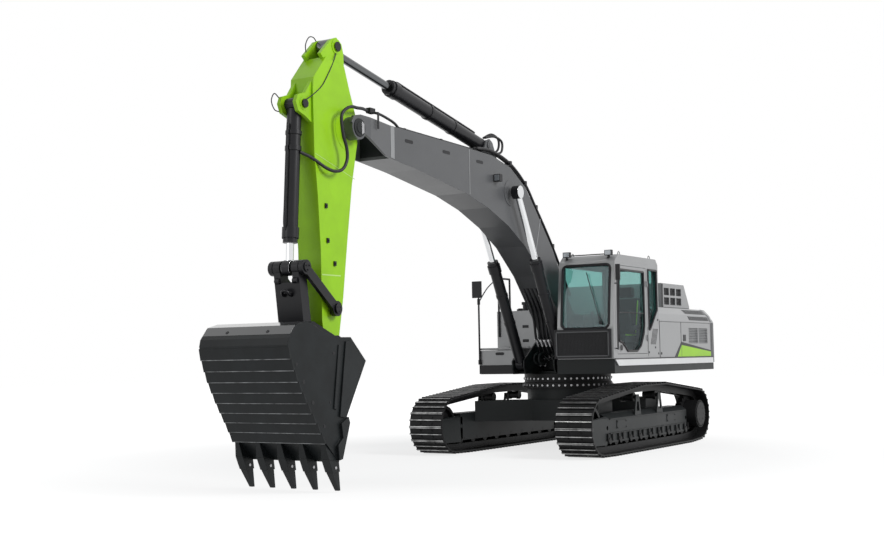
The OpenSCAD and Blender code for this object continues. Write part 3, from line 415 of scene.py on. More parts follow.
def undercarriage():
    """Bolts of the swing bearing, drives and rollers, and plates on the track frames."""
    ring_bolts("ring_bolts", "undercarriage", 0.754, 1.06)
    ring_bolts("race_bolts", "upper", 0.734, 1.17)
    plates = Kit()
    dark = Kit()
    hang = Kit()
    for side in (-1, 1):
        # bolts of the final drive
        for count, r, y, h in ((24, 0.22, 1.581, 0.012), (8, 0.13, 1.595, 0.006)):
            for t in angles(count):
                p = Vector((SPROCKET[0] + r * math.cos(t), side * y, SPROCKET[1] + r * math.sin(t)))
                plates.cyl(p, p + Vector((0, side * h, 0)), 0.013, 6)
        # bolted covers and the frame's edges
        y0, y1 = span(side, FRAME_Y, COVER_Y)
        for x in (1.15, -0.95):
            plates.box((x - 0.19, y0, 0.40), (x + 0.19, y1, 0.53))
            corners = [(x + a, side * COVER_Y, 0.465 + b) for a in (-0.165, 0.165) for b in (-0.045, 0.045)]
            plates.hexes(corners, (0, side, 0), 0.012, 0.008)
        y0, y1 = span(side, FRAME_Y, FRAME_Y + 0.02)
        for z0, z1 in ((0.555, 0.572), (0.334, 0.35)):
            plates.box((-ROLLER_X, y0, z0), (ROLLER_X, y1, z1))
        # dark holes at the frame's front end
        for x, z, r in ((2.21, 0.43, 0.03), (2.22, 0.55, 0.014), (2.20, 0.30, 0.014)):
            dark.cyl((x, side * FRAME_Y, z), (x, side * 1.4705, z), r, 20)
        # bolts and axle ends of the bottom rollers
        y = side * (FRAME_Y + 0.012)
        for i in range(9):
            x = -ROLLER_X + i * 0.405
            for dx in (-0.085, 0.085):
                hang.cyl((x + dx, y, 0.235), (x + dx, y, 0.345), 0.013, 10)
                hang.cyl((x + dx, y, 0.23), (x + dx, y, 0.25), 0.02, 6)
            hang.cyl((x, side * FRAME_Y, ROLLER_Z), (x, side * (FRAME_Y + 0.016), ROLLER_Z), 0.05, 20)
        # inner covers beside the front wheels
        cover = [(1.66, 0.229), (1.73, 0.17), (2.185, 0.18), (2.305, 0.296), (2.33, 0.466), (2.295, 0.571),
                 (1.66, 0.581)]
        plates.prism(cover, *span(side, 1.12, 1.142))
    plates.done("frame_plates", FRAME, "undercarriage", bevel=0.003)
    dark.done("tie_holes", BLACK, "undercarriage")
    hang.done("roller_bolts", TRACK, "undercarriage")


# Upper body

def left_doors():
    """Louvres, lime wedge and marks on the left doors, and the joint below them."""
    out = BODY_Y
    k = Kit()
    for i in (0, 1):
        x1, x0 = -1.87 - 0.5 * i, -2.33 - 0.5 * i
        for z in LOUVRE_ZS:
            k.prism([(x0, z), (x1, z), (x1, z + LOUVRE_H), (x0, z + LOUVRE_H)], out - 0.034, out - 0.006)
        k.box((x0 - 0.004, out - 0.038, 1.726), (x1 + 0.004, out - 0.034, 2.004))
    k.done("rear_door_louvres", GREY_BAND, "left_rear_door")
    k = Kit()
    wedge = [(GAP_REAR, DOOR_LOW), (DOOR_REAR, DOOR_LOW), (DOOR_REAR, 1.58), (GAP_REAR, 1.70)]
    k.prism(wedge, out, out + TRIM)
    k.done("wedge_rear", LIME, "left_rear_door")
    k = Kit()
    k.prism([(-1.30, DOOR_LOW), (GAP_FRONT, DOOR_LOW), (GAP_FRONT, 1.69)], out, out + TRIM)
    k.done("wedge_front", LIME, "left_front_door")
    k = Kit()
    k.prism([(GAP_REAR, 1.70), (DOOR_REAR, 1.58), (DOOR_REAR, 1.605), (GAP_REAR, 1.755)], out, out + 0.0025)
    k.box((-1.71, out, 1.77), (-1.60, out + 0.008, 1.88))
    k.done("rear_door_marks", BLACK, "left_rear_door", bevel=0.001)
    k = Kit()
    k.prism([(-1.30, DOOR_LOW), (GAP_FRONT, 1.69), (GAP_FRONT, 1.755), (-1.17, DOOR_LOW)], out, out + 0.0025)
    k.cyl((-0.56, out, 1.56), (-0.56, out + 0.006, 1.56), 0.022, 20)
    k.done("front_door_marks", BLACK, "left_front_door")
    k = Kit()
    k.box((-3.06, out, 1.4745), (1.40, out + 0.0205, 1.491))
    k.done("deck_joint", BLACK, "upper")


def shoulder():
    """Two rows of slots along the left shoulder, and dark edges at the rear."""
    corners = [Vector(p) for p in ((1.49, 2.12), (1.43, 2.235), (1.30, 2.355))]
    rows = []
    for a, b in zip(corners, corners[1:]):
        d = b - a
        rows.append((a, b, Vector((d.y, -d.x)).normalized() * TRIM))
    k = Kit()
    for a, b, n in rows:
        low, high = a + (b - a) * 0.18, a + (b - a) * 0.78
        for i in range(11):
            x = -1.95 - i * 0.092
            k.cross([(p.x, p.y) for p in (low, high, high + n, low + n)], x - 0.068, x)
    k.done("shoulder_slots", BLACK, "upper")
    k = Kit()
    for a, b, n in rows:
        k.cross([(p.x, p.y) for p in (a, b, b + n, a + n)], -3.05, -2.985)
    k.done("shoulder_edge", CHARCOAL, "upper")
    k = Kit()
    k.box((-3.03, BODY_Y, DOOR_LOW), (DOOR_REAR, BODY_Y + TRIM, 2.092))
    k.done("rear_door_edge", CHARCOAL, "left_rear_door")


def hood_grilles():
    """Six grilles on the hood's left side, a dark strip of painted shade at its front end and a dark line
    along its base.
    """
    k = Kit()
    for i in range(3):
        for j in range(2):
            x1 = -1.73 - i * 0.30
            z0 = 2.43 + j * 0.17
            k.box((x1 - 0.252, 1.066, z0 - 0.002), (x1 + 0.002, 1.072, z0 + 0.132))
            for s in range(5):
                z = z0 + 0.012 + s * 0.025
                k.box((x1 - 0.25, 1.072, z), (x1, 1.09, z + 0.008))
    # dark strip of painted shade at the hood's front end, beside the cab
    k.box((-1.68, 1.10, 2.365), (-1.60, 1.103, 2.80))
    k.box((-2.95, 1.10, 2.362), (-1.68, 1.102, 2.385))
    k.done("hood_grilles", PLASTIC, "engine_hood")


def cab_front_x(z):
    """The cab's front face at height z."""
    line = [(1.487, 1.42), (1.987, 1.42), (2.287, 1.39), (3.024, 1.30)]
    for (z0, x0), (z1, x1) in zip(line, line[1:]):
        if z <= z1:
            return x0 + (x1 - x0) * (z - z0) / (z1 - z0)
    return line[-1][1]


def outline(k, pts, r):
    """Rubber strip round a window."""
    n = len(pts)
    for i in range(n):
        k.hose([pts[i], pts[(i + 1) % n]], r, 8, 1)


def cab_windows():
    """Rubber round the front window and the rear side window, and the wiper."""
    y0, y1 = CAB_Y0, BODY_Y
    top, low = CAB_TOP, DECK_TOP
    pane = [(y0 + 0.13, low + 0.48), (y1 - 0.13, low + 0.48), (y1 - 0.075, low + 0.535),
            (y1 - 0.075, top - 0.215), (y1 - 0.09, top - 0.18), (y1 - 0.13, top - 0.16),
            (y0 + 0.13, top - 0.16), (y0 + 0.09, top - 0.18), (y0 + 0.075, top - 0.215),
            (y0 + 0.075, low + 0.535)]
    k = Kit()
    dense = []
    for (a, b), (c, d) in zip(pane, pane[1:] + pane[:1]):
        dense += [(a + (c - a) * t / 4, b + (d - b) * t / 4) for t in range(4)]
    outline(k, [(cab_front_x(z) + 0.001, y, z) for y, z in dense], 0.022)
    quarter = [(-0.40, low + 0.80), (-0.08, low + 0.47), (-0.04, low + 0.47), (-0.04, top - 0.19),
               (-0.40, top - 0.19)]
    outline(k, [(x, y1, z) for x, z in quarter], 0.02)
    wiper = ((1.28, 2.05), (1.17, 2.40), (1.02, 2.85))
    k.hose([(cab_front_x(z) + 0.02, y, z) for y, z in wiper], 0.008, 8, 3)
    k.cyl((cab_front_x(2.05), 1.28, 2.05), (cab_front_x(2.05) + 0.03, 1.28, 2.05), 0.025, 16)
    k.done("window_rubber", BLACK, "upper")


def cab_outside():
    """Vents and bolts on the cab's side, lenses and eyes on its roof."""
    y0, y1 = CAB_Y0, BODY_Y
    k = Kit()
    for i in range(5):
        x = -0.10 - i * 0.048
        k.prism([(x, 1.71), (x - 0.018, 1.71), (x - 0.128, 1.97), (x - 0.11, 1.97)], y1, y1 + 0.002)
    for x, z in ((-0.42, 2.12), (-0.02, 1.58), (-0.30, 1.66), (-0.43, 1.56)):
        k.cyl((x, y1, z), (x, y1 + 0.004, z), 0.018, 16)
    k.box((0.005, y1, 1.52), (0.018, y1 + 0.002, 2.0))
    k.done("cab_vents", PLASTIC, "upper")
    k = Kit()
    for y in (y0 + 0.11, y1 - 0.13):
        k.box((1.262, y - 0.05, 3.125), (1.266, y + 0.05, 3.198))
    k.done("roof_lenses", LAMP, "upper", bevel=0.002)
    k = Kit()
    for x in (0.95, -0.30):
        for y in (y0 + 0.08, y1 - 0.08):
            k.hose([(x - 0.03, y, 3.13), (x - 0.035, y, 3.17), (x, y, 3.195), (x + 0.035, y, 3.17),
                    (x + 0.03, y, 3.13)], 0.008)
    k.done("roof_eyes", SILVER, "upper")


def front_guard():
    """Mesh, rim and bolts of the guard below the front window."""
    face, wire, step, edge = 1.44, 0.005, 0.024, 0.02
    y0, y1 = CAB_Y0 - 0.015, BODY_Y - 0.065
    z0, z1 = 1.525, 1.925
    k = Kit()
    for i in range(17):
        z = z0 + 0.005 + i * step
        k.box((face, y0 + 0.003, z), (face + 0.004, y1 - 0.002, z + wire))
    for i in range(38):
        y = y0 + 0.007 + i * step
        k.box((face, y, z0 + 0.005), (face + 0.004, y + wire, z1 - 0.001))
    rim = Kit()
    for lo, hi in (((y0, z0), (y1, z0 + edge)), ((y0, z1 - edge), (y1, z1)),
                   ((y0, z0), (y0 + edge, z1)), ((y1 - edge, z0), (y1, z1))):
        rim.box((face, *lo), (face + 0.0185, *hi))
    rim.done("guard_rim", CHARCOAL, "upper", bevel=0.004)
    bolts = [(face + 0.016, y, z) for y in (y0 - 0.013, y1 + 0.013) for z in (1.52, 1.72, 1.94)]
    k.hexes(bolts, (1, 0, 0), 0.012, 0.006)
    k.done("guard_mesh", PLASTIC, "upper")


def cab_inside():
    """Levers, pedals, monitor, arm rests, lime piping and head rest."""
    mid = BODY_Y - 0.4835
    k = Kit()
    for y in (mid - 0.33, mid + 0.33):
        k.box((0.05, y - 0.05, 1.95), (0.42, y + 0.05, 2.03))
        k.hose([(0.36, y, 2.02), (0.38, y, 2.12), (0.40, y, 2.18)], 0.016)
        k.cyl((0.40, y, 2.16), (0.42, y, 2.27), 0.026, 16)
    for y in (mid - 0.09, mid + 0.09):
        k.hose([(0.92, y, 1.60), (0.90, y, 1.85), (0.86, y, 2.05), (0.84, y, 2.12)], 0.012)
        k.box((0.95, y - 0.05, 1.60), (1.12, y + 0.05, 1.62))
    y = CAB_Y0 + 0.19
    k.box((1.02, y - 0.10, 2.02), (1.06, y + 0.11, 2.20))
    k.hose([(1.04, y, 1.62), (1.04, y, 2.05)], 0.018)
    k.done("cab_controls", PLASTIC, "upper", bevel=0.006)
    k = Kit()
    for y in (mid - 0.245, mid + 0.235):
        k.box((-0.06, y, 1.86), (0.38, y + 0.012, 1.885))
        k.prism([(-0.065, 1.90), (-0.035, 1.90), (-0.15, 2.45), (-0.18, 2.45)], y, y + 0.012)
    k.done("seat_piping", LIME, "upper")
    k = Kit()
    k.box((-0.30, mid - 0.15, 2.50), (-0.17, mid + 0.15, 2.68))
    rest = k.done("head_rest", FABRIC, "upper", bevel=0.04)


def door_trim():
    """Rubber, lock and seam of the cab door."""
    low, top, x0, x1 = DECK_TOP, 2.964, 0.05, 1.27
    hole = [(x0 + 0.44, low + 0.12), (x1 - 0.39, low + 0.12), (x1 - 0.31, low + 0.18),
            (x1 - 0.19, low + 0.25), (x1 - 0.06, low + 0.28), (x1 - 0.04, low + 0.50),
            (x1 - 0.06, low + 0.80), (x1 - 0.12, top - 0.07), (x0 + 0.11, top - 0.07),
            (x0 + 0.11, low + 0.56), (x0 + 0.15, low + 0.40), (x0 + 0.28, low + 0.20)]
    k = Kit()
    outline(k, [(x, BODY_Y, z) for x, z in hole], 0.02)
    k.cyl((1.13, BODY_Y, 1.66), (1.13, BODY_Y + 0.012, 1.66), 0.046, 28)
    k.box((x0 + 0.09, BODY_Y - 0.012, 2.21), (x1 - 0.05, BODY_Y + 0.004, 2.225))
    k.done("door_rubber", BLACK, "cab_door")
    k = Kit()
    k.cyl((1.13, BODY_Y, 1.66), (1.13, BODY_Y + 0.006, 1.66), 0.066, 32)
    k.done("door_lock", SILVER, "cab_door")


# Front

def boom_sides():
    """Bands, slots and bosses on the boom."""
    k = Kit()
    for s in (-1, 1):
        y0, y1 = span(s, BOOM_Y, 0.2625)
        k.prism([(5.66, 4.205), (5.752, 4.215), (5.752, 4.638), (5.66, 4.636)], y0, y1)
        k.prism([(3.66, 3.93), (3.675, 3.935), (3.675, 4.60), (3.66, 4.60)], y0, y1)
        k.prism([(1.62, 3.10), (1.635, 3.11), (1.42, 3.76), (1.405, 3.75)], y0, y1)
    k.done("boom_bands", GREY_BAND, "boom")
    k = Kit()
    for s in (-1, 1):
        y0, y1 = span(s, BOOM_Y, 0.2612)
        for x, z in ((5.22, 4.49), (4.24, 4.47), (3.28, 4.45)):
            k.prism(arc((x, z), 0.024, 90, 270, 8) + arc((x + 0.16, z), 0.024, -90, 90, 8), y0, y1)
    k.done("boom_slots", BLACK, "boom")
    k = Kit()
    for s in (-1, 1):
        k.ybar((2.42, 4.08), 0.20, *span(s, BOOM_Y, 0.268), 48)
        k.ybar(ARM_CYL[0], 0.075, *span(s, 0.141, 0.156), 32)
    k.done("boom_bosses", CHARCOAL, "boom", bevel=0.003)


def boom_tip():
    """Keepers and caps of the tip's pin, and the wall that closes the boom's box."""
    k = Kit()
    for s in (-1, 1):
        y0, y1 = span(s, 0.344, 0.362)
        k.prism([(6.50, 4.43), (6.55, 4.40), (6.55, 4.57), (6.50, 4.54)], y0, y1)
    k.done("tip_keepers", STEEL, "boom", bevel=0.004)
    k = Kit()
    for s in (-1, 1):
        k.ybar(TIP, 0.118, *span(s, TIP_Y, 0.348), 40)
        k.ybar(TIP, 0.07, *span(s, 0.344, 0.356), 32)
    k.box((5.735, -0.244, 4.22), (5.758, 0.244, 4.63))
    k.done("tip_caps", FRAME, "boom", bevel=0.003)


def boom_hoses():
    """Hoses along the upper edge and on to the tip, their clamps, and the lamp's lens."""
    top = [(0.35, 2.55), (0.98, 3.34), (1.55, 3.93), (1.91, 4.28), (2.40, 4.54), (2.98, 4.66)]
    k = Kit()
    for y in (0.235, 0.185, -0.185, -0.235):
        k.hose([(x - 0.025, y, z + 0.012) for x, z in top] + [(3.40, y, 4.655)], 0.021)
    for y in (0.20, -0.20):
        k.hose([(5.48, y, 4.668), (5.60, y, 4.72), (5.90, y, 4.775), (6.12, y, 4.775), (6.20, y, 4.77)],
               0.018)
    for y, h in ((0.10, 0.02), (0.16, -0.02)):
        k.hose([(2.72, y, 4.66), (2.50, y, 4.74 + h), (2.48, y, 4.90 + h), (2.66, y * 0.8, 4.96 + h),
                (2.86, y * 0.5, 4.90)], 0.018)
    k.done("boom_hoses", PLASTIC, "boom")
    k = Kit()
    for s in (-1, 1):
        y0, y1 = span(s, 0.19, 0.26)
        k.box((6.10, y0, 4.745), (6.22, y1, 4.815))
        y0, y1 = span(s, 0.20, 0.345)
        k.box((6.14, y0, 4.74), (6.18, y1, 4.752))
        y0, y1 = span(s, 0.338, 0.347)
        k.box((6.14, y0, 4.53), (6.18, y1, 4.752))
        y0, y1 = span(s, 0.16, 0.262)
        for x, z in top[1:5]:
            k.box((x - 0.06, y0, z - 0.02), (x, y1, z + 0.045))
    k.done("hose_clamps", BLACK, "boom", bevel=0.003)
    k = Kit()
    k.box((2.951, 0.28, 4.21), (2.955, 0.36, 4.30))
    k.done("boom_lens", LAMP, "boom")


def foot_hoses():
    """Hoses from the deck to the boom's underside."""
    k = Kit()
    for y in FOOT_HOSE_YS:
        k.hose([(0.42, y, 1.50), (0.62, y, 1.62), (0.80, y * 0.9, 1.86), (0.86, y * 0.9, 2.14),
                (0.98, y * 0.9, 2.38), (1.20, y * 0.9, 2.66)], 0.022)
    collar = Kit()
    for y in FOOT_HOSE_YS:
        collar.cyl((0.70, y * 0.93, 1.715), (0.775, y * 0.91, 1.815), 0.029, 16)
        collar.cyl((0.765, y * 0.91, 1.80), (0.785, y * 0.91, 1.83), 0.035, 6)
    o = collar.make("hose_collars", STEEL)
    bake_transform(o)
    fit = Kit()
    for y in FOOT_HOSE_YS:
        fit.cyl((0.34, y, 1.455), (0.43, y, 1.505), 0.030, 6)
        fit.cyl((0.43, y, 1.505), (0.47, y, 1.527), 0.026, 16)
    for s in (-1, 1):
        for h in (0, 1):
            fit.cyl((0.58, s * (0.10 + 0.09 * h), 1.40), (0.66, s * (0.10 + 0.09 * h), 1.40), 0.026, 6)
    fit.done("foot_fittings", STEEL, "upper")
    low = Kit()
    low.box((0.20, -0.25, 1.31), (0.40, 0.25, 1.47))
    for s in (-1, 1):
        for h in (0, 1):
            y = s * (0.10 + 0.09 * h)
            low.hose([(0.56, y, 1.40), (0.70, y, 1.41), (0.80, y + s * 0.03, 1.47),
                      (0.80, y + s * 0.02, 1.56), (0.70, y, 1.60)], 0.02)
    low.done("foot_block", FRAME, "upper", bevel=0.004)
    o = k.make("foot_hoses", PLASTIC)
    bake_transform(o)


def cylinder_details(ends, length, r, y, body, name, bands):
    """Bands, head bolts and pipe of one barrel."""
    at = along(*ends)
    k = Kit()
    for s, w, extra in bands:
        k.cyl(at(s, y, 0), at(s + w, y, 0), r + extra, 32)
    k.cyl(at(length - 0.06, y, 0), at(length, y, 0), r * 0.8, 32)
    for t in angles(10):
        a = at(length - 0.062, y + (r + 0.002) * math.cos(t), (r + 0.002) * math.sin(t))
        b = at(length - 0.048, y + (r + 0.002) * math.cos(t), (r + 0.002) * math.sin(t))
        k.cyl(a, b, 0.011, 6)
    k.hose([at(0.25, y, r + 0.03), at(0.5, y, r + 0.035), at(length - 0.5, y, r + 0.035),
            at(length - 0.22, y, r + 0.035), at(length - 0.14, y, r - 0.005)], 0.016)
    k.done(name, BLACK, body, bevel=0.003)


def cylinders():
    """Fittings of the four barrels."""
    for s, n in ((1, "left"), (-1, "right")):
        cylinder_details(BOOM_CYL, 1.886, 0.090, s * BOOM_CYL_Y, "boom_barrels",
                         "boom_cylinder_fittings_" + n, ((0.75, 0.05, 0.008), (1.25, 0.05, 0.008)))
    cylinder_details(ARM_CYL, 2.62, 0.105, 0.0, "arm_barrel", "arm_cylinder_fittings",
                     ((0.9, 0.05, 0.008), (1.55, 0.06, 0.01)))
    cylinder_details(BUCKET_CYL, 1.715, 0.09, 0.0, "bucket_barrel", "bucket_cylinder_fittings",
                     ((0.33, 0.05, 0.012), (0.52, 0.06, 0.012)))


def rod_eyes():
    """Black sleeves round the eyes of the bright rods."""
    k = Kit()
    k.ybar(BUCKET_CYL[1], 0.0965, -0.0585, 0.0585, 40)
    k.done("bucket_rod_eye", BLACK, "bucket_rod")
    k = Kit()
    for s in (-1, 1):
        k.ybar(BOOM_CYL[1], 0.1015, s * BOOM_CYL_Y - 0.0605, s * BOOM_CYL_Y + 0.0605, 40)
    k.done("boom_rod_eyes", BLACK, "boom_rods")


def arm_sides():
    """Pads, pins, blocks and seams on the arm; the seams are pale lines of painted highlight."""
    k = Kit()
    for s in (-1, 1):
        y0, y1 = span(s, ARM_Y, 0.179)
        pad = arc(TIP, 0.30, -95, 95, 30)
        pad += [(TIP.x - 0.09, TIP.y + 0.27), (TIP.x - 0.15, TIP.y), (TIP.x - 0.13, TIP.y - 0.25)]
        k.prism(pad, y0, y1)
        k.ybar(ARM_CYL[1], 0.10, *span(s, 0.150, 0.158))
        k.ybar(BUCKET_CYL[0], 0.085, *span(s, 0.146, 0.152))
    k.done("arm_pads", LIME, "arm", bevel=0.003)
    k = Kit()
    for s in (-1, 1):
        k.ybar(ARM_CYL[1], 0.062, *span(s, 0.170, 0.182))
        k.ybar(BUCKET_CYL[0], 0.055, *span(s, 0.160, 0.178))
        k.ybar(BUCKET_PIN, 0.075, *span(s, 0.176, 0.190))
        for x, z in ((7.10, 3.45), (7.07, 3.02), (6.93, 2.74)):
            y0, y1 = span(s, ARM_Y, 0.195)
            k.box((x - 0.022, y0, z - 0.03), (x + 0.022, y1, z + 0.03))
            k.cyl((x, s * 0.195, z), (x, s * 0.205, z), 0.012, 10)
    k.done("arm_pins", BLACK, "arm", bevel=0.003)
    # weld seams drawn as pale lines of painted highlight
    k = Kit()
    for s in (-1, 1):
        y0, y1 = span(s, ARM_Y, 0.1765)
        k.prism([(7.30, 4.085), (7.30, 4.077), (6.47, 3.847), (6.47, 3.855)], y0, y1)
        k.prism([(7.19, 2.60), (7.19, 2.585), (6.80, 2.585), (6.80, 2.60)], y0, y1)
    k.done("arm_seams", LIME_PAINTED_HIGHLIGHT, "arm")


def arm_lines():
    """Hoses from the boom to the arm, and thin grease lines."""
    k = Kit()
    for y in (0.30, -0.30):
        k.hose([(6.20, y * 0.7, 4.77), (6.40, y * 0.9, 4.765), (6.575, y, 4.746), (6.689, y, 4.743),
                (6.802, y, 4.702), (6.903, y, 4.615), (6.91, y, 4.483), (6.87, y, 4.329),
                (6.813, y, 4.205), (6.803, y, 4.06), (6.891, y, 3.927), (7.026, y * 0.93, 3.88),
                (7.17, y * 0.8, 3.91), (7.33, y * 0.5, 4.02), (7.50, y * 0.3, 4.08)], 0.021, 10, 5)
    grease = Kit()
    for y in (0.165, -0.165):
        grease.hose([(6.83, y, 5.42), (6.90, y * 1.06, 5.30), (7.02, y * 1.09, 5.12),
                     (7.16, y * 1.09, 4.94), (7.34, y * 1.06, 4.80), (7.45, y, 4.73)], 0.007, 8)
    # loops over the far ears
    grease.hose([(6.85, -0.12, 5.59), (6.92, -0.12, 5.645), (7.02, -0.12, 5.625), (7.09, -0.12, 5.50),
                 (7.05, -0.12, 5.34)], 0.007, 8)
    grease.hose([(7.57, -0.15, 4.74), (7.68, -0.15, 4.80), (7.74, -0.15, 4.70), (7.68, -0.15, 4.60),
                 (7.58, -0.15, 4.59)], 0.007, 8)
    grease.done("grease_lines", PLASTIC, "arm")
    o = k.make("arm_hoses", PLASTIC)
    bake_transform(o)


def on_back(dist):
    """Point at a distance down the bucket's back."""
    line = [BUCKET_PIN + Vector(p) for p in BUCKET_BACK]
    for a, b in zip(line, line[1:]):
        if dist <= (b - a).length or b == line[-1]:
            return a + (b - a).normalized() * dist
        dist -= (b - a).length


def bucket_half(x):
    """Half the bucket's width, which narrows to its back."""
    return 0.735 - (x - BUCKET_PIN.x) * 0.055


def bucket_sides():
    """Holes in the bucket, bars and wear edges on its side plates."""
    k = Kit()
    for s in (-1, 1):
        for x, z, r in ((8.34, 1.50, 0.02), (8.22, 1.30, 0.024), (8.06, 1.06, 0.024), (7.86, 0.78, 0.02),
                        (7.75, 1.05, 0.018), (7.68, 1.62, 0.02)):
            y = s * bucket_half(x)
            k.cyl((x, y - s * 0.004, z), (x, y + s * 0.0015, z), r, 20)
    for y in (-0.30, 0.30):
        k.cyl((8.395, y, 1.875), (8.402, y, 1.881), 0.022, 16)
    k.done("bucket_holes", BLACK, "bucket")
    k = Kit()
    for s in (-1, 1):
        for line in ([(7.13, 1.50), (7.36, 1.77), (7.47, 1.76), (7.60, 0.88), (7.50, 0.86)],
                     [(7.55, 1.72), (7.60, 1.72), (7.70, 0.98), (7.66, 0.96)]):
            w = bucket_half(sum(p[0] for p in line) / len(line))
            k.prism(line, *span(s, w - 0.012, w + 0.014))
    k.done("bucket_bars", BUCKET, "bucket", bevel=0.004)


def bucket_back():
    """Lower edges of the plates across the back, lighter for wear and painted highlight, painted shade at
    the step below each, and the bright nose.
    """
    first, step = 0.025, 0.143
    k = Kit()
    step_shade = Kit()
    for n in range(9):
        a, b = on_back(first + n * step), on_back(first + (n + 0.97) * step)
        d = (b - a).normalized()
        out = Vector((-d.y, d.x))
        w = bucket_half((a.x + b.x) / 2) + 0.009
        # lighter strip at each plate's lower edge: wear, and painted highlight
        q = [b + out * 0.012 - d * 0.008, b + out * 0.0245 - d * 0.008,
             b + out * 0.0245 + d * 0.001, b + out * 0.012 + d * 0.001]
        k.prism([(v.x, v.y) for v in q], -w, w)
        # dark strip of painted shade at the step below each plate
        q = [b + out * 0.001 + d * 0.001, b + out * 0.006 + d * 0.001,
             b + out * 0.006 + d * 0.012, b + out * 0.001 + d * 0.012]
        step_shade.prism([(v.x, v.y) for v in q], -w + 0.01, w - 0.01)
    k.done("plate_wear_and_painted_highlight", PLATE_EDGE, "bucket")
    step_shade.done("plate_step_painted_shade", BLACK, "bucket")
    k = Kit()
    spots = ((1.16, 0.2555), (1.338, 0.212), (1.43, 0.113))
    nose = [(BUCKET_PIN.x + x, BUCKET_PIN.y + z) for x, z in spots]
    for (x0, z0), (x1, z1) in zip(nose, nose[1:]):
        d = Vector((x1 - x0, z1 - z0)).normalized()
        n = Vector((-d.y, d.x)) * 0.002
        w = bucket_half(x0) - 0.012
        k.prism([(x0, z0), (x1, z1), (x1 + n.x, z1 + n.y), (x0 + n.x, z0 + n.y)], -w, w)
    k.done("bucket_nose", BUCKET_GLOSS, "bucket")


def tooth_fittings():
    """Tapered shanks that hold the teeth, and their lock pins."""
    k = Kit()
    pins = Kit()
    for i in range(-2, 3):
        y = i * 0.3225
        spots = [(0.850, -1.120, 0.022), (0.802, -1.333, 0.056), (0.604, -1.379, 0.056)]
        v = [(BUCKET_PIN.x + x, y + e * w, BUCKET_PIN.y + z) for x, z, w in spots for e in (-1, 1)]
        k.add(v, [[0, 2, 4], [1, 5, 3], [0, 1, 3, 2], [2, 3, 5, 4], [4, 5, 1, 0]])
        for e in (-1, 1):
            x, z = BUCKET_PIN.x + 0.665, BUCKET_PIN.y - 1.44
            pins.cyl((x, y + e * 0.054, z), (x, y + e * 0.060, z), 0.018, 16)
    k.done("tooth_shanks", BUCKET, "bucket", bevel=0.004)
    pins.done("tooth_pins", STEEL, "bucket")


def link_details():
    """Plate and pins of the bucket's linkage."""
    at = along(LINK_LOW, BUCKET_CYL[1])
    k = Kit()
    spots = ((0.06, -0.185), (0.60, -0.185), (0.60, 0.185), (0.06, 0.185))
    corners = [at(d, y, h) for h in (-0.076, -0.066) for d, y in spots]
    k.add(corners, [[0, 1, 2, 3], [7, 6, 5, 4], [0, 4, 5, 1], [1, 5, 6, 2], [2, 6, 7, 3], [3, 7, 4, 0]])
    k.hose([at(0.44, -0.05, -0.072), at(0.46, -0.05, -0.115), at(0.50, -0.03, -0.14),
            at(0.50, 0.03, -0.14), at(0.46, 0.05, -0.115), at(0.44, 0.05, -0.072)], 0.02)
    for s in (-1, 1):
        k.cyl(at(0.62, s * 0.10, -0.076), at(0.62, s * 0.17, -0.076), 0.035, 20)
    k.done("link_plate", BLACK, "bucket_link", bevel=0.004)
    k = Kit()
    for s in (-1, 1):
        k.ybar(BUCKET_CYL[1], 0.06, *span(s, 0.263, 0.280))
        k.ybar(LINK_ARM, 0.065, *span(s, 0.275, 0.288))
        for c in (BUCKET_CYL[1], LINK_ARM):
            for a in (0.5, 2.6, 4.7):
                spot = (c.x + 0.035 * math.cos(a), s * 0.280, c.y + 0.035 * math.sin(a))
                k.hexes([spot], (0, s, 0), 0.012, 0.014)
    k.done("rocker_pins", BLACK, "arm_links", bevel=0.004)
    k = Kit()
    for s in (-1, 1):
        k.ybar(BUCKET_PIN, 0.07, *span(s, 0.290, 0.304))
        k.ybar(LINK_LOW, 0.065, *span(s, 0.275, 0.290))
    k.done("bucket_pins", BLACK, "bucket", bevel=0.004)


def right_side():
    """Caps, tool box and mirror on the right."""
    k = Kit()
    k.cyl((-0.62, -1.20, 2.355), (-0.62, -1.20, 2.40), 0.075, 28)
    k.cyl((-0.62, -1.20, 2.40), (-0.62, -1.20, 2.412), 0.05, 28)
    k.cyl((-1.2, -1.0, 2.355), (-1.2, -1.0, 2.385), 0.10, 28)
    for z in (1.80, 2.05):
        k.box((-0.25, -0.98, z), (-0.246, -0.86, z + 0.05))
    for x in (-0.55, -0.65, -0.75):
        k.prism([(x, 1.72), (x - 0.02, 1.72), (x - 0.12, 1.95), (x - 0.10, 1.95)], -1.4915, -1.49)
    k.done("tank_caps", PLASTIC, "upper", bevel=0.004)
    k = Kit()
    k.box((0.42, -1.46, 1.25), (0.424, -0.72, 1.40))
    k.done("box_skirt", BLACK, "upper")
    k = Kit()
    k.box((0.42, -1.488, 1.405), (0.4225, -0.70, 1.655))
    k.done("box_front", SILVER, "upper")
    k = Kit()
    k.cross(arc((-1.14, 1.6), 0.024, 90, 270, 10) + arc((-1.02, 1.6), 0.024, -90, 90, 10), 0.4225, 0.427)
    k.done("lid_latch", BLACK, "upper")
    k = Kit()
    k.box((-0.236, -1.494, 1.667), (0.428, -0.696, 1.702))
    k.done("lid_cap", SILVER, "tool_box_lid", bevel=0.016)
    # stay of the mirror and the mirror's shell
    k = Kit()
    y = -BODY_Y + 0.025
    k.hose([(-0.23, y - 0.02, 2.93), (0.12, y - 0.01, 2.76), (0.45, y, 2.50)], 0.011)
    k.box((0.47, y - 0.112, 2.59), (0.474, y + 0.047, 2.86))
    k.cyl((0.45, y, 2.46), (0.45, y, 2.56), 0.026, 16)
    k.cyl((0.45, y, 1.42), (0.45, y, 1.50), 0.026, 16)
    k.done("mirror_stay", BLACK, "upper", bevel=0.003)


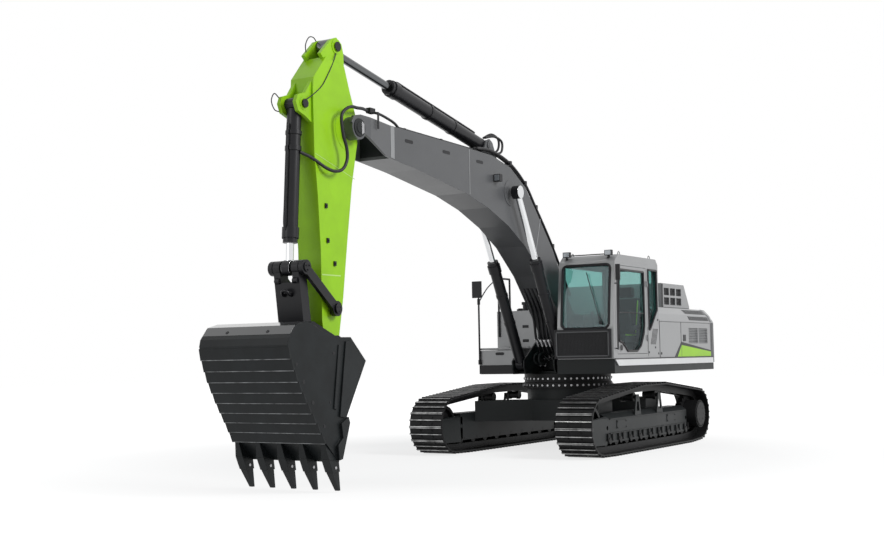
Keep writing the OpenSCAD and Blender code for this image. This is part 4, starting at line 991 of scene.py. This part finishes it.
def rear_side():
    """Lifting eyes on the counterweight, latches and a grille on the engine hood and right door."""
    k = Kit()
    for y in (-0.75, 0.75):
        x = -math.sqrt(TAIL_R ** 2 - y * y) + 0.16
        k.hose([(x, y - 0.09, 2.34), (x, y - 0.09, 2.40), (x, y - 0.05, 2.44), (x, y + 0.05, 2.44),
                (x, y + 0.09, 2.40), (x, y + 0.09, 2.34)], 0.018)
    k.done("lifting_eyes", CHARCOAL, "upper")
    k = Kit()
    for s in (-1, 1):
        k.box((-2.995, s * 0.55 - 0.05, 2.39), (-2.983, s * 0.55 + 0.05, 2.41))
    k.done("hood_latches", PLASTIC, "engine_hood", bevel=0.003)
    k = Kit()
    k.box((-1.70, -1.498, 1.76), (-1.59, -1.49, 1.87))
    for z in LOUVRE_ZS:
        k.box((-2.83, -1.492, z), (-1.95, -1.49, z + LOUVRE_H))
    k.done("right_door_marks", PLASTIC, "right_rear_door", bevel=0.001)


for part in (tracks, undercarriage, left_doors, shoulder, hood_grilles, right_side, rear_side,
             cab_windows, cab_outside, front_guard, cab_inside, door_trim, boom_sides, boom_tip,
             boom_hoses, foot_hoses, cylinders, rod_eyes, arm_sides, arm_lines, bucket_sides,
             bucket_back, tooth_fittings, link_details):
    part()


# Stage and camera

FLOOR_HALF = 60
FLOOR_Z = -0.001
PHOTO_WIDTH = 884
FOCAL_PIXELS = 1276.8
SENSOR = 36
CAMERA_AT = (19.7866, 9.5709, 1.5405)
CAMERA_ANGLES = (31.3358, 3.8869, -0.9989)


def direct_ray(t):
    """1 for rays from the camera, from a mirror-like surface or through glass."""
    path = t.nodes.new("ShaderNodeLightPath")
    direct = path.outputs["Is Camera Ray"]
    for kind in ("Is Glossy Ray", "Is Transmission Ray"):
        either = t.nodes.new("ShaderNodeMath")
        either.operation = "MAXIMUM"
        t.links.new(direct, either.inputs[0])
        t.links.new(path.outputs[kind], either.inputs[1])
        direct = either.outputs[0]
    return direct


def mixed(t, share, first, second):
    """Shader between two others."""
    mix = t.nodes.new("ShaderNodeMixShader")
    t.links.new(share, mix.inputs["Fac"])
    t.links.new(first.outputs[0], mix.inputs[1])
    t.links.new(second.outputs[0], mix.inputs[2])
    return mix


def floor():
    """Floor that shows the shadow near the machine and is white further off."""
    h = FLOOR_HALF
    me = bpy.data.meshes.new("floor")
    me.from_pydata([(x, y, FLOOR_Z) for x, y in ((-h, -h), (h, -h), (h, h), (-h, h))], [], [[0, 1, 2, 3]])
    m, t, out = new_material("floor")
    shaded = node(t, "ShaderNodeBsdfDiffuse", Color=(0.6, 0.6, 0.6, 1))
    white = node(t, "ShaderNodeEmission", Strength=1.2)
    pos = t.nodes.new("ShaderNodeNewGeometry")
    far = t.nodes.new("ShaderNodeVectorMath")
    far.operation = "LENGTH"
    fade = node(t, "ShaderNodeMapRange", From_Min=4.0, From_Max=11.0, To_Min=0.62, To_Max=1.0)
    t.links.new(pos.outputs["Position"], far.inputs[0])
    t.links.new(far.outputs["Value"], fade.inputs["Value"])
    seen = mixed(t, fade.outputs["Result"], shaded, white)
    t.links.new(mixed(t, direct_ray(t), shaded, seen).outputs[0], out.inputs[0])
    me.materials.append(m)
    put("floor", me)


def world():
    """White where it is seen, dimmer as light."""
    w = bpy.data.worlds.new("studio")
    bpy.context.scene.world = w
    w.use_nodes = True
    t = w.node_tree
    t.nodes.clear()
    out = t.nodes.new("ShaderNodeOutputWorld")
    seen = node(t, "ShaderNodeBackground", Color=(1, 1, 1, 1))
    lit = node(t, "ShaderNodeBackground", Color=(0.94, 0.97, 1, 1), Strength=0.45)
    t.links.new(mixed(t, direct_ray(t), lit, seen).outputs[0], out.inputs[0])


def lamps():
    """Two soft lamps: name, place, aim, power and size."""
    for name, place, aim, power, size in (
        ("key", (1, 17, 13), (1, 0, 2.2), 2700, 7),
        ("front", (20, -6, 9), (4, 0, 2), 500, 8),
    ):
        light = bpy.data.lights.new(name, "AREA")
        light.energy, light.size = power, size
        o = put(name, light)
        o.location = place
        o.rotation_euler = (Vector(aim) - Vector(place)).to_track_quat("-Z", "Y").to_euler()


def camera():
    """Camera at the photo's angle."""
    yaw, pitch, roll = (math.radians(a) for a in CAMERA_ANGLES)
    ahead = Vector((-math.cos(yaw) * math.cos(pitch), -math.sin(yaw) * math.cos(pitch), math.sin(pitch)))
    right = Vector((-math.sin(yaw), math.cos(yaw), 0))
    up = right.cross(ahead)
    r = math.cos(roll) * right + math.sin(roll) * up
    u = math.cos(roll) * up - math.sin(roll) * right
    cam = bpy.data.cameras.new("camera")
    cam.sensor_width, cam.lens = SENSOR, FOCAL_PIXELS / PHOTO_WIDTH * SENSOR
    o = put("camera", cam)
    m = Matrix((r, u, -ahead)).transposed().to_4x4()
    m.translation = Vector((CAMERA_AT[0] - DX, CAMERA_AT[1], CAMERA_AT[2]))
    o.matrix_world = m
    bpy.context.scene.camera = o


floor()
world()
lamps()
camera()
bpy.context.scene.view_settings.view_transform = "Standard"
